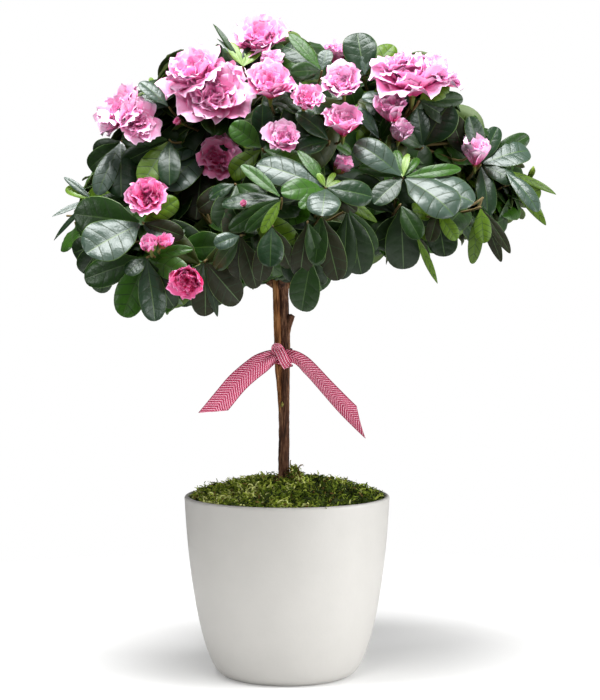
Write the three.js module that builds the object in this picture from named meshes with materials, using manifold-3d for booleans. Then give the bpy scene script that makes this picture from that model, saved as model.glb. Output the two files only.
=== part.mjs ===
// A flowering azalea grown as a small standard: one bare stem with a round head of foliage, in a plain
// round pot with moss on the compost and a ribbon tied round the stem.
// Millimetres, +Z up. The origin is the middle of the pot's flat underside, the front faces -Y and
// +X is to the right. Each sub-part is one named mesh.
import * as THREE from "three";
import { mergeVertices } from "three/addons/utils/BufferGeometryUtils.js";
import Module from "manifold-3d";

const wasm = await Module();
wasm.setup();

// ---- Driving sizes -------------------------------------------------------------------------------

const GAP = 0.3; // between solids that touch

const POT = { height: 140, rimRadius: 80, footRadius: 48, wall: 4, floor: 6, sides: 36 };
const SOIL_LEVEL = 127;
const MOSS = { edgeHeight: 139, crownHeight: 155, roughness: 1.6, sides: 24, rings: 5 };

const STEM = {
  foot: new THREE.Vector3(-3, 0, SOIL_LEVEL + GAP),
  fork: new THREE.Vector3(-4.5, 0, 318),
  tip: new THREE.Vector3(4, 2, 424),
  radius: 4.1, // of the slender lower stem
  swelling: 2.2, // added above the middle, where two stems have grown together
  swellingFrom: 200,
  swellingTo: 262,
  flare: 3.4, // added at the foot, where the roots spread
  flareHeight: 9,
  tipRadius: 2.2,
  sides: 10,
  rings: 20,
};
// Where a side shoot was pruned off: its line from the stem's middle at height.
const STUB = { height: 279, radius: 2.6, line: [[0, 0, 0], [5.4, -1, 1], [9, -1.5, 2.5]], steps: 3 };

const CROWN = { centreX: 10, centreY: 0, seed: 11, unevenness: 0.2, detail: 3, gap: 1.2 };
const BOUGH = {
  startRadius: 3.1,
  endRadius: 1.7,
  sides: 6,
  steps: 5,
  bendAt: 0.45, // the share of the way out where it is highest
  rise: 0.135, // how far it rises there, as a share of its span
  intoMass: 16, // how far it runs into its mass
  skirtStart: 300, // height where the lowest ones leave the stem
  skirtStep: 16,
  upperStart: 340,
  upperStep: 9,
};

// The head is a skirt of masses, an upper ring and one top mass. Azimuth is in degrees from +X, turning
// left seen from above, so the front is 270. reach is the furthest distance from the crown's middle,
// depth and width are the half sizes outwards and sideways, and bottom and top are heights.
const SKIRT = { depth: 64, width: 61 };
const UPPER = { depth: 63, width: 63 };
const MASSES = [
  { name: "skirt_right", azimuth: 2, reach: 197, bottom: 317, top: 423, ...SKIRT },
  { name: "skirt_front_right", azimuth: 315, reach: 186, bottom: 311, top: 402, ...SKIRT },
  { name: "skirt_front", azimuth: 270, reach: 180, bottom: 304, top: 400, ...SKIRT },
  { name: "skirt_front_left", azimuth: 224, reach: 186, bottom: 272, top: 388, ...SKIRT },
  { name: "skirt_left", azimuth: 180, reach: 194, bottom: 288, top: 404, ...SKIRT },
  { name: "skirt_back_left", azimuth: 136, reach: 186, bottom: 290, top: 400, ...SKIRT },
  { name: "skirt_back", azimuth: 90, reach: 182, bottom: 298, top: 402, ...SKIRT },
  { name: "skirt_back_right", azimuth: 46, reach: 188, bottom: 312, top: 408, ...SKIRT },
  { name: "upper_right", azimuth: 338, reach: 154, bottom: 382, top: 486, ...UPPER },
  { name: "upper_front", azimuth: 268, reach: 142, bottom: 378, top: 474, ...UPPER },
  { name: "upper_left", azimuth: 196, reach: 150, bottom: 380, top: 483, ...UPPER },
  { name: "upper_back_left", azimuth: 124, reach: 144, bottom: 382, top: 480, ...UPPER },
  { name: "upper_back_right", azimuth: 52, reach: 146, bottom: 384, top: 482, ...UPPER },
  { name: "top", azimuth: 180, reach: 62, bottom: 414, top: 511, depth: 60, width: 64 },
];

const RIBBON = { width: 16, thickness: 1, height: 248, steps: 12, tiltUp: 0.35 };
// A rounded knot in front of a plain band round the stem.
const KNOT = {
  width: 8,
  depth: 6.5,
  height: 9.5,
  forward: 0.55, // how far its middle is in front of the stem, as a share of its depth
  band: 2,
  bandHeight: 13,
  bandBevel: 1,
  sides: 12,
  rows: 7,
};
// Each tail leaves the knot and arches out and down. Points are from the knot's middle.
const LEFT_TAIL = {
  name: "ribbon_tail_left",
  points: [[-10, -1, 0], [-21, -6, -7], [-34, -9, -18], [-45, -8, -31], [-54, -5, -42]],
  slant: -8, // how much one edge runs past the other at the cut end
};
const RIGHT_TAIL = {
  name: "ribbon_tail_right",
  points: [[10, -1, -1], [20, -6, -9], [34, -9, -24], [48, -8, -39], [60, -5, -51]],
  slant: -26,
};

// ---- Materials -----------------------------------------------------------------------------------

const matte = (color, roughness) =>
  new THREE.MeshStandardMaterial({ color, roughness, metalness: 0 });
const MATERIAL = {
  pot: matte(0xe4e3df, 0.45),
  soil: matte(0x2b1d13, 0.95),
  moss: matte(0x4f6b22, 0.9),
  bark: matte(0x5a3826, 0.85),
  leaf: matte(0x22452a, 0.35),
  ribbon: matte(0xb8486c, 0.6),
};

// ---- Shared helpers ------------------------------------------------------------------------------

// A seeded random number generator, mulberry32.
function randomFrom(seed) {
  let state = seed >>> 0;
  return () => {
    state = (state + 0x6d2b79f5) >>> 0;
    let mixed = Math.imul(state ^ (state >>> 15), 1 | state);
    mixed = (mixed + Math.imul(mixed ^ (mixed >>> 7), 61 | mixed)) ^ mixed;
    return ((mixed ^ (mixed >>> 14)) >>> 0) / 4294967296;
  };
}

// A smooth uneven field over directions, from -1 to 1: a few waves that cross at random.
function unevenField(seed, waves = 6, slowest = 2.2, fastest = 5) {
  const random = randomFrom(seed);
  const terms = Array.from({ length: waves }, () => ({
    direction: new THREE.Vector3(random() - 0.5, random() - 0.5, random() - 0.5).normalize(),
    pace: slowest + (fastest - slowest) * random(),
    phase: 2 * Math.PI * random(),
  }));
  return (at) =>
    terms.reduce((sum, t) => sum + Math.sin(t.pace * at.dot(t.direction) + t.phase), 0) / waves;
}

// A closed skin over rings of points, each ring turning left about the way the skin runs.
function skinOf(rings) {
  const count = rings[0].length;
  const middle = (ring) =>
    ring.reduce((sum, p) => sum.add(p), new THREE.Vector3()).divideScalar(ring.length);
  const vertices = [...rings.flat(), middle(rings[0]), middle(rings.at(-1))];
  const first = vertices.length - 2;
  const last = vertices.length - 1;
  const faces = [];
  for (let j = 0; j < count; j++) {
    const next = (j + 1) % count;
    for (let i = 0; i < rings.length - 1; i++) {
      const low = i * count;
      const high = low + count;
      faces.push(low + j, low + next, high + next, low + j, high + next, high + j);
    }
    const end = (rings.length - 1) * count;
    faces.push(first, next, j, last, end + j, end + next);
  }
  return new THREE.BufferGeometry().setFromPoints(vertices).setIndex(faces);
}

// A limb along a curve, with a radius that depends on the share of the way along it.
function limb(curve, radiusAt, sides, steps) {
  const frames = curve.computeFrenetFrames(steps);
  const rings = [];
  for (let i = 0; i <= steps; i++) {
    const centre = curve.getPointAt(i / steps);
    const radius = radiusAt(i / steps, centre);
    const ring = [];
    for (let j = 0; j < sides; j++) {
      const angle = (2 * Math.PI * j) / sides;
      ring.push(
        centre
          .clone()
          .addScaledVector(frames.normals[i], radius * Math.cos(angle))
          .addScaledVector(frames.binormals[i], radius * Math.sin(angle)),
      );
    }
    rings.push(ring);
  }
  return skinOf(rings);
}

// A turned shape from a profile of [radius, height] points.
function turned(profile, sides) {
  const points = profile.map(([radius, height]) => new THREE.Vector2(radius, height));
  return new THREE.LatheGeometry(points, sides).rotateX(Math.PI / 2);
}

function toSolid(geometry) {
  const bare = geometry.clone();
  bare.deleteAttribute("normal");
  bare.deleteAttribute("uv");
  const merged = mergeVertices(bare, 1e-3);
  return new wasm.Manifold(
    new wasm.Mesh({
      numProp: 3,
      vertProperties: merged.getAttribute("position").array,
      triVerts: new Uint32Array(merged.index.array),
    }),
  );
}

function toGeometry(solid) {
  const { vertProperties, triVerts } = solid.getMesh();
  const geometry = new THREE.BufferGeometry()
    .setAttribute("position", new THREE.BufferAttribute(vertProperties, 3))
    .setIndex(new THREE.BufferAttribute(triVerts, 1));
  geometry.computeVertexNormals();
  return geometry;
}

function named(name, geometry, material) {
  const mesh = new THREE.Mesh(geometry, material);
  mesh.name = name;
  return mesh;
}

// ---- Pot, compost and moss -----------------------------------------------------------------------

// The pot's outer side: a gently bowed wall that rounds in to a smaller foot.
const potSide = new THREE.CubicBezierCurve(
  new THREE.Vector2(POT.footRadius, 0),
  new THREE.Vector2(0.79 * POT.rimRadius, 0),
  new THREE.Vector2(0.956 * POT.rimRadius, 0.44 * POT.height),
  new THREE.Vector2(POT.rimRadius, POT.height),
);
const SIDE_STEPS = 8;

// The pot's inner side, from its floor up to a height, set in from the outer side.
function innerSide(inset, lowest, highest) {
  return potSide
    .getPoints(SIDE_STEPS)
    .filter((p) => p.y > lowest + 1 && p.y < highest - 1)
    .map((p) => [p.x - inset, p.y]);
}

function radiusInside(inset, height) {
  const points = potSide.getPoints(200);
  return points.find((p) => p.y >= height).x - inset;
}

function makePot() {
  const outer = potSide.getPoints(SIDE_STEPS).map((p) => [p.x, p.y]);
  const inner = innerSide(POT.wall, POT.floor, POT.height).reverse();
  const lip = [[POT.rimRadius - POT.wall, POT.height]];
  const floorEdge = [[radiusInside(POT.wall, POT.floor), POT.floor]];
  const profile = [[0, 0], ...outer, ...lip, ...inner, ...floorEdge, [0, POT.floor]];
  return named("pot", turned(profile, POT.sides), MATERIAL.pot);
}

function makeSoil() {
  const inset = POT.wall + GAP;
  const floor = POT.floor + GAP;
  const profile = [
    [0, floor],
    [radiusInside(inset, floor), floor],
    ...innerSide(inset, floor, SOIL_LEVEL),
    [radiusInside(inset, SOIL_LEVEL), SOIL_LEVEL],
    [0, SOIL_LEVEL],
  ];
  return named("potting_soil", turned(profile, POT.sides), MATERIAL.soil);
}

function makeMoss(stemSleeve) {
  const bottom = SOIL_LEVEL + GAP;
  const uneven = unevenField(5, 8, 5, 12);
  const radiusAt = (height) => radiusInside(POT.wall + 2 * GAP, Math.min(height, POT.height - 1));
  const ringAt = (radius, heightAt) =>
    Array.from({ length: MOSS.sides }, (_, j) => {
      const angle = (2 * Math.PI * j) / MOSS.sides;
      const x = radius * Math.cos(angle);
      const y = radius * Math.sin(angle);
      return new THREE.Vector3(x, y, heightAt(x, y));
    });
  const edge = radiusAt(MOSS.edgeHeight);
  const mound = (x, y) => {
    const out = Math.hypot(x, y) / edge;
    const rise = (MOSS.crownHeight - MOSS.edgeHeight) * (1 - out ** 2);
    const tufts = MOSS.roughness * uneven(new THREE.Vector3(x / edge, y / edge, 0));
    return MOSS.edgeHeight + rise + tufts;
  };
  const rings = [ringAt(radiusAt(bottom), () => bottom)];
  for (let i = MOSS.rings; i > 0; i--) rings.push(ringAt((edge * i) / MOSS.rings, mound));
  return named("moss", toGeometry(toSolid(skinOf(rings)).subtract(stemSleeve)), MATERIAL.moss);
}

// ---- Stem and boughs -----------------------------------------------------------------------------

const stemLine = new THREE.CatmullRomCurve3([
  STEM.foot,
  STEM.foot.clone().lerp(STEM.fork, 0.35).add(new THREE.Vector3(1.2, 0, 0)),
  STEM.foot.clone().lerp(STEM.fork, 0.7).add(new THREE.Vector3(0.6, 0.8, 0)),
  STEM.fork,
  STEM.fork.clone().lerp(STEM.tip, 0.5),
  STEM.tip,
]);

function stemRadius(height) {
  const swollen = THREE.MathUtils.smoothstep(height, STEM.swellingFrom, STEM.swellingTo);
  const flare = STEM.flare * Math.exp(-(height - STEM.foot.z) / STEM.flareHeight);
  const low = STEM.radius + STEM.swelling * swollen + flare;
  const pastFork = Math.max(0, height - STEM.fork.z) / (STEM.tip.z - STEM.fork.z);
  return THREE.MathUtils.lerp(low, STEM.tipRadius, pastFork);
}

// The stem, or with extra a sleeve round it that leaves room for it in its neighbours.
function stemSolid(extra = 0) {
  const stem = toSolid(
    limb(stemLine, (_, at) => stemRadius(at.z) + extra, STEM.sides, STEM.rings),
  );
  const base = pointOnStem(STUB.height);
  const stub = new THREE.CatmullRomCurve3(
    STUB.line.map((p) => new THREE.Vector3(...p).add(base)),
  );
  return stem.add(toSolid(limb(stub, () => STUB.radius + extra, STEM.sides, STUB.steps)));
}

function pointOnStem(height) {
  return stemLine.getPoints(300).find((p) => p.z >= height).clone();
}

// The place and size of a mass, worked out from its row in MASSES.
function placed(mass) {
  const angle = THREE.MathUtils.degToRad(mass.azimuth);
  const outward = new THREE.Vector3(Math.cos(angle), Math.sin(angle), 0);
  const centre = new THREE.Vector3(CROWN.centreX, CROWN.centreY, (mass.bottom + mass.top) / 2);
  centre.addScaledVector(outward, mass.reach - mass.depth);
  return { ...mass, outward, centre, halfHeight: (mass.top - mass.bottom) / 2, angle };
}

const masses = MASSES.map(placed);

const NEAR_SIDE = 0.92; // where a mass's near side is, as a share of its half depth

// Each mass but the top one has a bough: it leaves the head of the stem, the lower ones lower down, rises
// and arches out into its mass. The stem's own tip feeds the top mass.
function boughLine(mass, index) {
  const isSkirt = mass.name.startsWith("skirt");
  const low = BOUGH.skirtStart + BOUGH.skirtStep * (index % 2);
  const high = BOUGH.upperStart + BOUGH.upperStep * ((index * 2) % 5);
  const start = pointOnStem(isSkirt ? low : high);
  const towards = mass.centre.clone().sub(start).normalize();
  const end = mass.centre.clone().addScaledVector(towards, BOUGH.intoMass - mass.depth * NEAR_SIDE);
  const rise = BOUGH.rise * end.distanceTo(start);
  const bend = start.clone().lerp(end, BOUGH.bendAt).add(new THREE.Vector3(0, 0, rise));
  return new THREE.QuadraticBezierCurve3(start, bend, end);
}

function boughSolid(line, extra = 0) {
  const radiusAt = (share) => THREE.MathUtils.lerp(BOUGH.startRadius, BOUGH.endRadius, share) + extra;
  return toSolid(limb(line, radiusAt, BOUGH.sides, BOUGH.steps));
}

// ---- Foliage masses ------------------------------------------------------------------------------

// How far a mass reaches from its centre in a direction, before its unevenness.
function reachOf(mass, direction) {
  const out = direction.dot(mass.outward) / mass.depth;
  const up = direction.z / mass.halfHeight;
  const side = new THREE.Vector3(-mass.outward.y, mass.outward.x, 0).dot(direction) / mass.width;
  return 1 / Math.hypot(out, up, side);
}

// A closed lump with an uneven surface.
function lump(mass, index) {
  const uneven = unevenField(CROWN.seed + index);
  const geometry = new THREE.IcosahedronGeometry(1, CROWN.detail);
  const position = geometry.getAttribute("position");
  const at = new THREE.Vector3();
  for (let i = 0; i < position.count; i++) {
    at.fromBufferAttribute(position, i);
    const swell = 1 + CROWN.unevenness * uneven(at);
    at.multiply(new THREE.Vector3(mass.depth, mass.width, mass.halfHeight)).multiplyScalar(swell);
    position.setXYZ(i, at.x, at.y, at.z);
  }
  geometry.rotateZ(mass.angle).translate(mass.centre.x, mass.centre.y, mass.centre.z);
  return toSolid(geometry);
}

// Each lump is trimmed flat where it meets a neighbour, with a narrow gap, and opened for the limbs.
function massSolid(mass, index, limbSleeves) {
  let solid = lump(mass, index);
  for (const other of masses) {
    if (other === mass) continue;
    const towards = other.centre.clone().sub(mass.centre);
    const distance = towards.length();
    towards.divideScalar(distance);
    const own = reachOf(mass, towards);
    const theirs = reachOf(other, towards);
    const room = 1 + CROWN.unevenness;
    if (distance > (own + theirs) * room) continue;
    const cut = (distance * own) / (own + theirs) - CROWN.gap;
    const inwards = towards.clone().negate();
    solid = solid.trimByPlane(inwards.toArray(), inwards.dot(mass.centre) - cut);
  }
  return limbSleeves.reduce((whole, sleeve) => whole.subtract(sleeve), solid);
}

// ---- Ribbon --------------------------------------------------------------------------------------

const knotCentre = pointOnStem(RIBBON.height).add(
  new THREE.Vector3(0, -(stemRadius(RIBBON.height) + KNOT.depth * KNOT.forward), 0),
);

function makeKnot(stemSleeve) {
  const inside = stemRadius(RIBBON.height) - GAP; // the sleeve cuts it back to clear the stem
  const outside = stemRadius(RIBBON.height) + KNOT.band + 2 * GAP;
  const half = KNOT.bandHeight / 2;
  const profile = [
    [inside, -half],
    [outside, -half + KNOT.bandBevel],
    [outside, half - KNOT.bandBevel],
    [inside, half],
    [inside, -half],
  ];
  const stemMiddle = pointOnStem(RIBBON.height);
  const band = turned(profile, KNOT.sides).translate(stemMiddle.x, stemMiddle.y, RIBBON.height);
  const lumpOfRibbon = new THREE.SphereGeometry(1, KNOT.sides, KNOT.rows)
    .scale(KNOT.width, KNOT.depth, KNOT.height)
    .translate(knotCentre.x, knotCentre.y, knotCentre.z);
  const knot = toSolid(band).add(toSolid(lumpOfRibbon)).subtract(stemSleeve);
  return named("ribbon_knot", toGeometry(knot), MATERIAL.ribbon);
}

// A flat strip that follows its points, turned to face forwards and a little up.
function makeTail(tail) {
  const line = new THREE.CatmullRomCurve3(
    tail.points.map((p) => new THREE.Vector3(...p).add(knotCentre)),
  );
  const facing = new THREE.Vector3(0, -1, RIBBON.tiltUp).normalize();
  const rings = [];
  for (let i = 0; i <= RIBBON.steps; i++) {
    const share = i / RIBBON.steps;
    const along = line.getTangentAt(share);
    const across = new THREE.Vector3().crossVectors(facing, along).normalize();
    const through = new THREE.Vector3().crossVectors(along, across);
    const slant = (tail.slant / 2) * Math.max(0, share * 2 - 1);
    const corner = (side, layer) =>
      line
        .getPointAt(share)
        .addScaledVector(across, (side * RIBBON.width) / 2)
        .addScaledVector(through, (layer * RIBBON.thickness) / 2)
        .addScaledVector(along, side * slant);
    rings.push([corner(-1, -1), corner(1, -1), corner(1, 1), corner(-1, 1)]);
  }
  return named(tail.name, skinOf(rings), MATERIAL.ribbon);
}

// ---- Assembly ------------------------------------------------------------------------------------

const azalea = new THREE.Group();
const stemSleeve = stemSolid(GAP);
const boughLines = masses.filter((m) => m.name !== "top").map(boughLine);

azalea.add(makePot(), makeSoil(), makeMoss(stemSleeve));
azalea.add(named("trunk", toGeometry(stemSolid()), MATERIAL.bark));
boughLines.forEach((line, i) => {
  const bough = boughSolid(line).subtract(stemSleeve);
  azalea.add(named("bough_" + masses[i].name, toGeometry(bough), MATERIAL.bark));
});

const limbSleeves = [stemSleeve, ...boughLines.map((line) => boughSolid(line, GAP))];
masses.forEach((mass, i) => {
  const solid = massSolid(mass, i, limbSleeves);
  azalea.add(named("foliage_" + mass.name, toGeometry(solid), MATERIAL.leaf));
});

azalea.add(makeKnot(stemSleeve), makeTail(LEFT_TAIL), makeTail(RIGHT_TAIL));

export default azalea;
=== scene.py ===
"""A flowering azalea grown as a small standard, in a plain pale pot with moss and a striped ribbon.

Everything is worked out in millimetres, in the frame of the CAD model, and turned into metres where
a mesh is made. The crown's whorls of leaves, its twigs and its blooms are laid out on the skin of the
CAD model's own foliage masses, so the outline is the model's.
"""
import math

import bpy
import numpy as np
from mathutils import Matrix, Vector, noise
from mathutils.bvhtree import BVHTree


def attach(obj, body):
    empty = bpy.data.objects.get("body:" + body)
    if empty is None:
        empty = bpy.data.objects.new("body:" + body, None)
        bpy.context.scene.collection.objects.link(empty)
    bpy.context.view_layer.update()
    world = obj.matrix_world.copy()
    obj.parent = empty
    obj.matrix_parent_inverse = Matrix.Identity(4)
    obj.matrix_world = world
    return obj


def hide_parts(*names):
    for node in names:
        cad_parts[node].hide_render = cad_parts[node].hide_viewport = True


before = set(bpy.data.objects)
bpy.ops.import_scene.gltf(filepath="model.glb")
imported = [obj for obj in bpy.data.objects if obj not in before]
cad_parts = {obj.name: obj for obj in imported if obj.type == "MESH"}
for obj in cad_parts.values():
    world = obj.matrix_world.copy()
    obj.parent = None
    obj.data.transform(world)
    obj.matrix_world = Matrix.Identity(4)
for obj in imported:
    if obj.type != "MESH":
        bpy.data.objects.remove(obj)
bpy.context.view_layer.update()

MM = 0.001
UP = np.array([0.0, 0.0, 1.0])
SEED = 20


# ---- Sizes that repeat the CAD model's own, in mm --------------------------------------------------

POT_HEIGHT = 140.0
POT_RIM = 80.0
POT_FOOT = 48.0
POT_WALL = 4.0
MOSS_EDGE = 139.0
MOSS_CROWN = 155.0

STEM_FOOT = np.array([-3.0, 0.0, 127.3])
STEM_FORK = np.array([-4.5, 0.0, 318.0])
STEM_TIP = np.array([4.0, 2.0, 424.0])
CROWN_MIDDLE = np.array([10.0, 0.0])

# Name, azimuth from +X in degrees, reach from the crown's middle, bottom, top and half depth.
MASSES = [
    ("skirt_right", 2, 197, 317, 423, 64),
    ("skirt_front_right", 315, 186, 311, 402, 64),
    ("skirt_front", 270, 180, 304, 400, 64),
    ("skirt_front_left", 224, 186, 272, 388, 64),
    ("skirt_left", 180, 194, 288, 404, 64),
    ("skirt_back_left", 136, 186, 290, 400, 64),
    ("skirt_back", 90, 182, 298, 402, 64),
    ("skirt_back_right", 46, 188, 312, 408, 64),
    ("upper_right", 338, 154, 382, 486, 63),
    ("upper_front", 268, 142, 378, 474, 63),
    ("upper_left", 196, 150, 380, 483, 63),
    ("upper_back_left", 124, 144, 382, 480, 63),
    ("upper_back_right", 52, 146, 384, 482, 63),
    ("top", 180, 62, 414, 511, 60),
]
MASS_NAMES = [row[0] for row in MASSES]

KNOT_HEIGHT = 248.0
RIBBON_WIDTH = 16.6
LEFT_TAIL = [(-10, -1, 0), (-21, -6, -7), (-34, -9, -18), (-45, -8, -31), (-54, -5, -42)]
RIGHT_TAIL = [(10, -1, -1), (20, -6, -9), (34, -9, -24), (48, -8, -39), (60, -5, -51)]


# ---- Small helpers ---------------------------------------------------------------------------------

def unit(vectors):
    length = np.linalg.norm(vectors, axis=-1, keepdims=True)
    return vectors / np.maximum(length, 1e-9)


def upright_to(vectors, axes):
    """The part of each vector at right angles to its axis, one long."""
    return unit(vectors - (vectors * axes).sum(-1, keepdims=True) * axes)


def smoothstep(value, low, high):
    share = np.clip((value - low) / (high - low), 0.0, 1.0)
    return share * share * (3 - 2 * share)


def linear(red, green, blue):
    """A display colour from 0 to 255 as the linear colour that a shader takes."""
    def one(value):
        value /= 255
        return value / 12.92 if value <= 0.04045 else ((value + 0.055) / 1.055) ** 2.4
    return (one(red), one(green), one(blue), 1.0)


def spline(points, count):
    """A Catmull-Rom curve through the points, as count points."""
    p = np.array(points, float)
    p = np.vstack([2 * p[0] - p[1], p, 2 * p[-1] - p[-2]])
    at = np.linspace(0, len(p) - 3 - 1e-9, count)
    i = at.astype(int)
    t = (at - i)[:, None]
    a, b, c, d = p[i], p[i + 1], p[i + 2], p[i + 3]
    squared = (2 * a - 5 * b + 4 * c - d) * t**2
    cubed = (3 * b - a - 3 * c + d) * t**3
    return 0.5 * (2 * b + (c - a) * t + squared + cubed)


def bezier(a, b, c, d, count):
    """Cubic curves from a to d, shape (n, count, 3)."""
    t = np.linspace(0, 1, count)[None, :, None]
    return cubic(*(np.atleast_2d(p)[:, None, :] for p in (a, b, c, d)), t)


def cubic(a, b, c, d, t):
    return (1 - t) ** 3 * a + 3 * (1 - t) ** 2 * t * b + 3 * (1 - t) * t**2 * c + t**3 * d


def turned_round(axis, across, turns):
    """Directions at right angles to the axis, turned round it from across, shape (n, 3)."""
    first = upright_to(np.array(across), axis)
    second = np.cross(axis, first)
    return np.cos(turns)[:, None] * first + np.sin(turns)[:, None] * second


def along_line(line):
    """How far along a line of points each one is."""
    return np.concatenate([[0], np.cumsum(np.linalg.norm(np.diff(line, axis=0), axis=1))])


def at_distance(at, distance, line):
    """The points of a line at the given distances along it."""
    return np.stack([np.interp(at, distance, line[:, axis]) for axis in range(3)], -1)


def carried_frames(paths):
    """Two directions across each point of each path, carried along it without twist."""
    along = unit(np.gradient(paths, axis=1))
    start = np.where(np.abs(along[:, :1, 2:]) < 0.9, UP, np.array([1.0, 0.0, 0.0]))
    first = np.zeros_like(paths)
    first[:, 0] = upright_to(start[:, 0], along[:, 0])
    for i in range(1, paths.shape[1]):
        first[:, i] = upright_to(first[:, i - 1], along[:, i])
    return first, np.cross(along, first), along


class Shape:
    """Vertices in mm, faces and each face's material number, gathered from many small parts."""

    def __init__(self):
        self.points, self.faces, self.kinds, self.count = [], [], [], 0

    def add(self, points, faces, kinds):
        """points (n, 3), faces (m, 4) where a triangle repeats its last corner, kinds (m,) or a number."""
        faces = np.asarray(faces, int)
        self.points.append(np.asarray(points, float).reshape(-1, 3))
        self.faces.append(faces + self.count)
        self.kinds.append(np.broadcast_to(np.asarray(kinds, int), (len(faces),)))
        self.count += len(self.points[-1])

    def add_copies(self, points, faces, kinds):
        """points (n, v, 3) for n copies of one set of faces (m, 4), and kinds (n, m)."""
        copies, size = points.shape[:2]
        shift = (np.arange(copies) * size)[:, None, None]
        faces = (np.asarray(faces)[None] + shift).reshape(-1, 4)
        self.add(points.reshape(-1, 3), faces, np.asarray(kinds).reshape(-1))

    def piece(self, name, materials, replaced=()):
        """The finished Blender object, riding on the one body."""
        points = np.concatenate(self.points) * MM
        faces = np.concatenate(self.faces)
        kinds = np.concatenate(self.kinds)
        triangle = faces[:, 2] == faces[:, 3]
        sizes = np.where(triangle, 3, 4)
        keep = np.ones(faces.shape, bool)
        keep[triangle, 3] = False
        loops = faces[keep]
        mesh = bpy.data.meshes.new(name)
        mesh.vertices.add(len(points))
        mesh.vertices.foreach_set("co", points.astype(np.float32).ravel())
        mesh.loops.add(len(loops))
        mesh.loops.foreach_set("vertex_index", loops.astype(np.int32))
        mesh.polygons.add(len(faces))
        mesh.polygons.foreach_set("loop_start", (np.cumsum(sizes) - sizes).astype(np.int32))
        mesh.polygons.foreach_set("material_index", kinds.astype(np.int32))
        mesh.polygons.foreach_set("use_smooth", np.ones(len(faces), bool))
        for material in materials:
            mesh.materials.append(material)
        mesh.update(calc_edges=True)
        mesh.validate()
        made = bpy.data.objects.new(name, mesh)
        bpy.context.scene.collection.objects.link(made)
        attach(made, "root")
        if replaced:
            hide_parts(*replaced)
        return made


def grid_faces(rows, columns, wrap=False):
    """Quads over a grid of rows by columns of points, closed across the columns if wrap."""
    i, j = np.meshgrid(np.arange(rows - 1), np.arange(columns if wrap else columns - 1), indexing="ij")
    i, j = i.ravel(), j.ravel()
    k = (j + 1) % columns
    return np.stack([i * columns + j, i * columns + k, (i + 1) * columns + k, (i + 1) * columns + j], 1)


def limb_faces(steps, sides):
    """Faces of a limb of steps rings, closed by one point at its foot and one at its tip."""
    this = np.arange(sides)
    following = (this + 1) % sides
    foot = np.full(sides, steps * sides)
    tip = foot + 1
    last = (steps - 1) * sides
    low = np.stack([following, this, foot, foot], 1)
    high = np.stack([last + this, last + following, tip, tip], 1)
    return np.concatenate([grid_faces(steps, sides, wrap=True), low, high])


def tubes(shape, paths, radii, sides, kind):
    """Round tapering limbs along paths (n, k, 3) with radii (n, k), each closed at its ends."""
    copies, steps = paths.shape[:2]
    first, second, along = carried_frames(paths)
    angle = np.linspace(0, 2 * math.pi, sides, endpoint=False)[:, None]
    ring = np.cos(angle) * first[:, :, None, :] + np.sin(angle) * second[:, :, None, :]
    points = paths[:, :, None, :] + radii[:, :, None, None] * ring
    ends = np.stack([paths[:, 0], paths[:, -1] + along[:, -1] * radii[:, -1:] * 0.5], 1)
    points = np.concatenate([points.reshape(copies, -1, 3), ends], 1)
    faces = limb_faces(steps, sides)
    shape.add_copies(points, faces, np.full((copies, len(faces)), kind))


# ---- Materials -------------------------------------------------------------------------------------

def plain(name, colour, roughness, **sockets):
    """A material with one base colour on the shader's own socket."""
    material = bpy.data.materials.new(name)
    material.use_nodes = True
    shader = material.node_tree.nodes["Principled BSDF"]
    shader.inputs["Base Color"].default_value = colour
    shader.inputs["Roughness"].default_value = roughness
    for socket, value in sockets.items():
        shader.inputs[socket.replace("_", " ")].default_value = value
    return material


class Nodes:
    """A short way to write a material's node tree."""

    def __init__(self, material):
        self.tree = material.node_tree
        self.shader = self.tree.nodes["Principled BSDF"]
        self.place = self.add("ShaderNodeTexCoord").outputs["Object"]

    def add(self, kind, **settings):
        node = self.tree.nodes.new(kind)
        for key, value in settings.items():
            setattr(node, key, value)
        return node

    def link(self, source, target):
        self.tree.links.new(source, target)

    def drive(self, socket, source):
        """Links a source to one of the shader's sockets."""
        self.link(source, self.shader.inputs[socket])

    def stretched(self, x, y, z):
        mapping = self.add("ShaderNodeMapping")
        mapping.inputs["Scale"].default_value = (x, y, z)
        self.link(self.place, mapping.inputs["Vector"])
        return mapping.outputs["Vector"]

    def noise(self, vector, scale, detail=4.0, roughness=0.55):
        node = self.add("ShaderNodeTexNoise")
        node.inputs["Scale"].default_value = scale
        node.inputs["Detail"].default_value = detail
        node.inputs["Roughness"].default_value = roughness
        self.link(vector, node.inputs["Vector"])
        return node.outputs["Fac"]

    def ramp(self, value, *stops):
        node = self.add("ShaderNodeValToRGB")
        elements = node.color_ramp.elements
        while len(elements) < len(stops):
            elements.new(0.5)
        for element, (position, colour) in zip(elements, stops):
            element.position = position
            element.color = colour
        self.link(value, node.inputs["Fac"])
        return node.outputs["Color"]

    def range(self, value, low, high, to_low, to_high):
        node = self.add("ShaderNodeMapRange")
        sockets = ("From Min", "From Max", "To Min", "To Max")
        for socket, number in zip(sockets, (low, high, to_low, to_high)):
            node.inputs[socket].default_value = number
        self.link(value, node.inputs["Value"])
        return node.outputs["Result"]

    def bump(self, height, distance, strength=1.0, under=None):
        node = self.add("ShaderNodeBump")
        node.inputs["Distance"].default_value = distance
        node.inputs["Strength"].default_value = strength
        self.link(height, node.inputs["Height"])
        if under is not None:
            self.link(under, node.inputs["Normal"])
        return node.outputs["Normal"]


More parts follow.
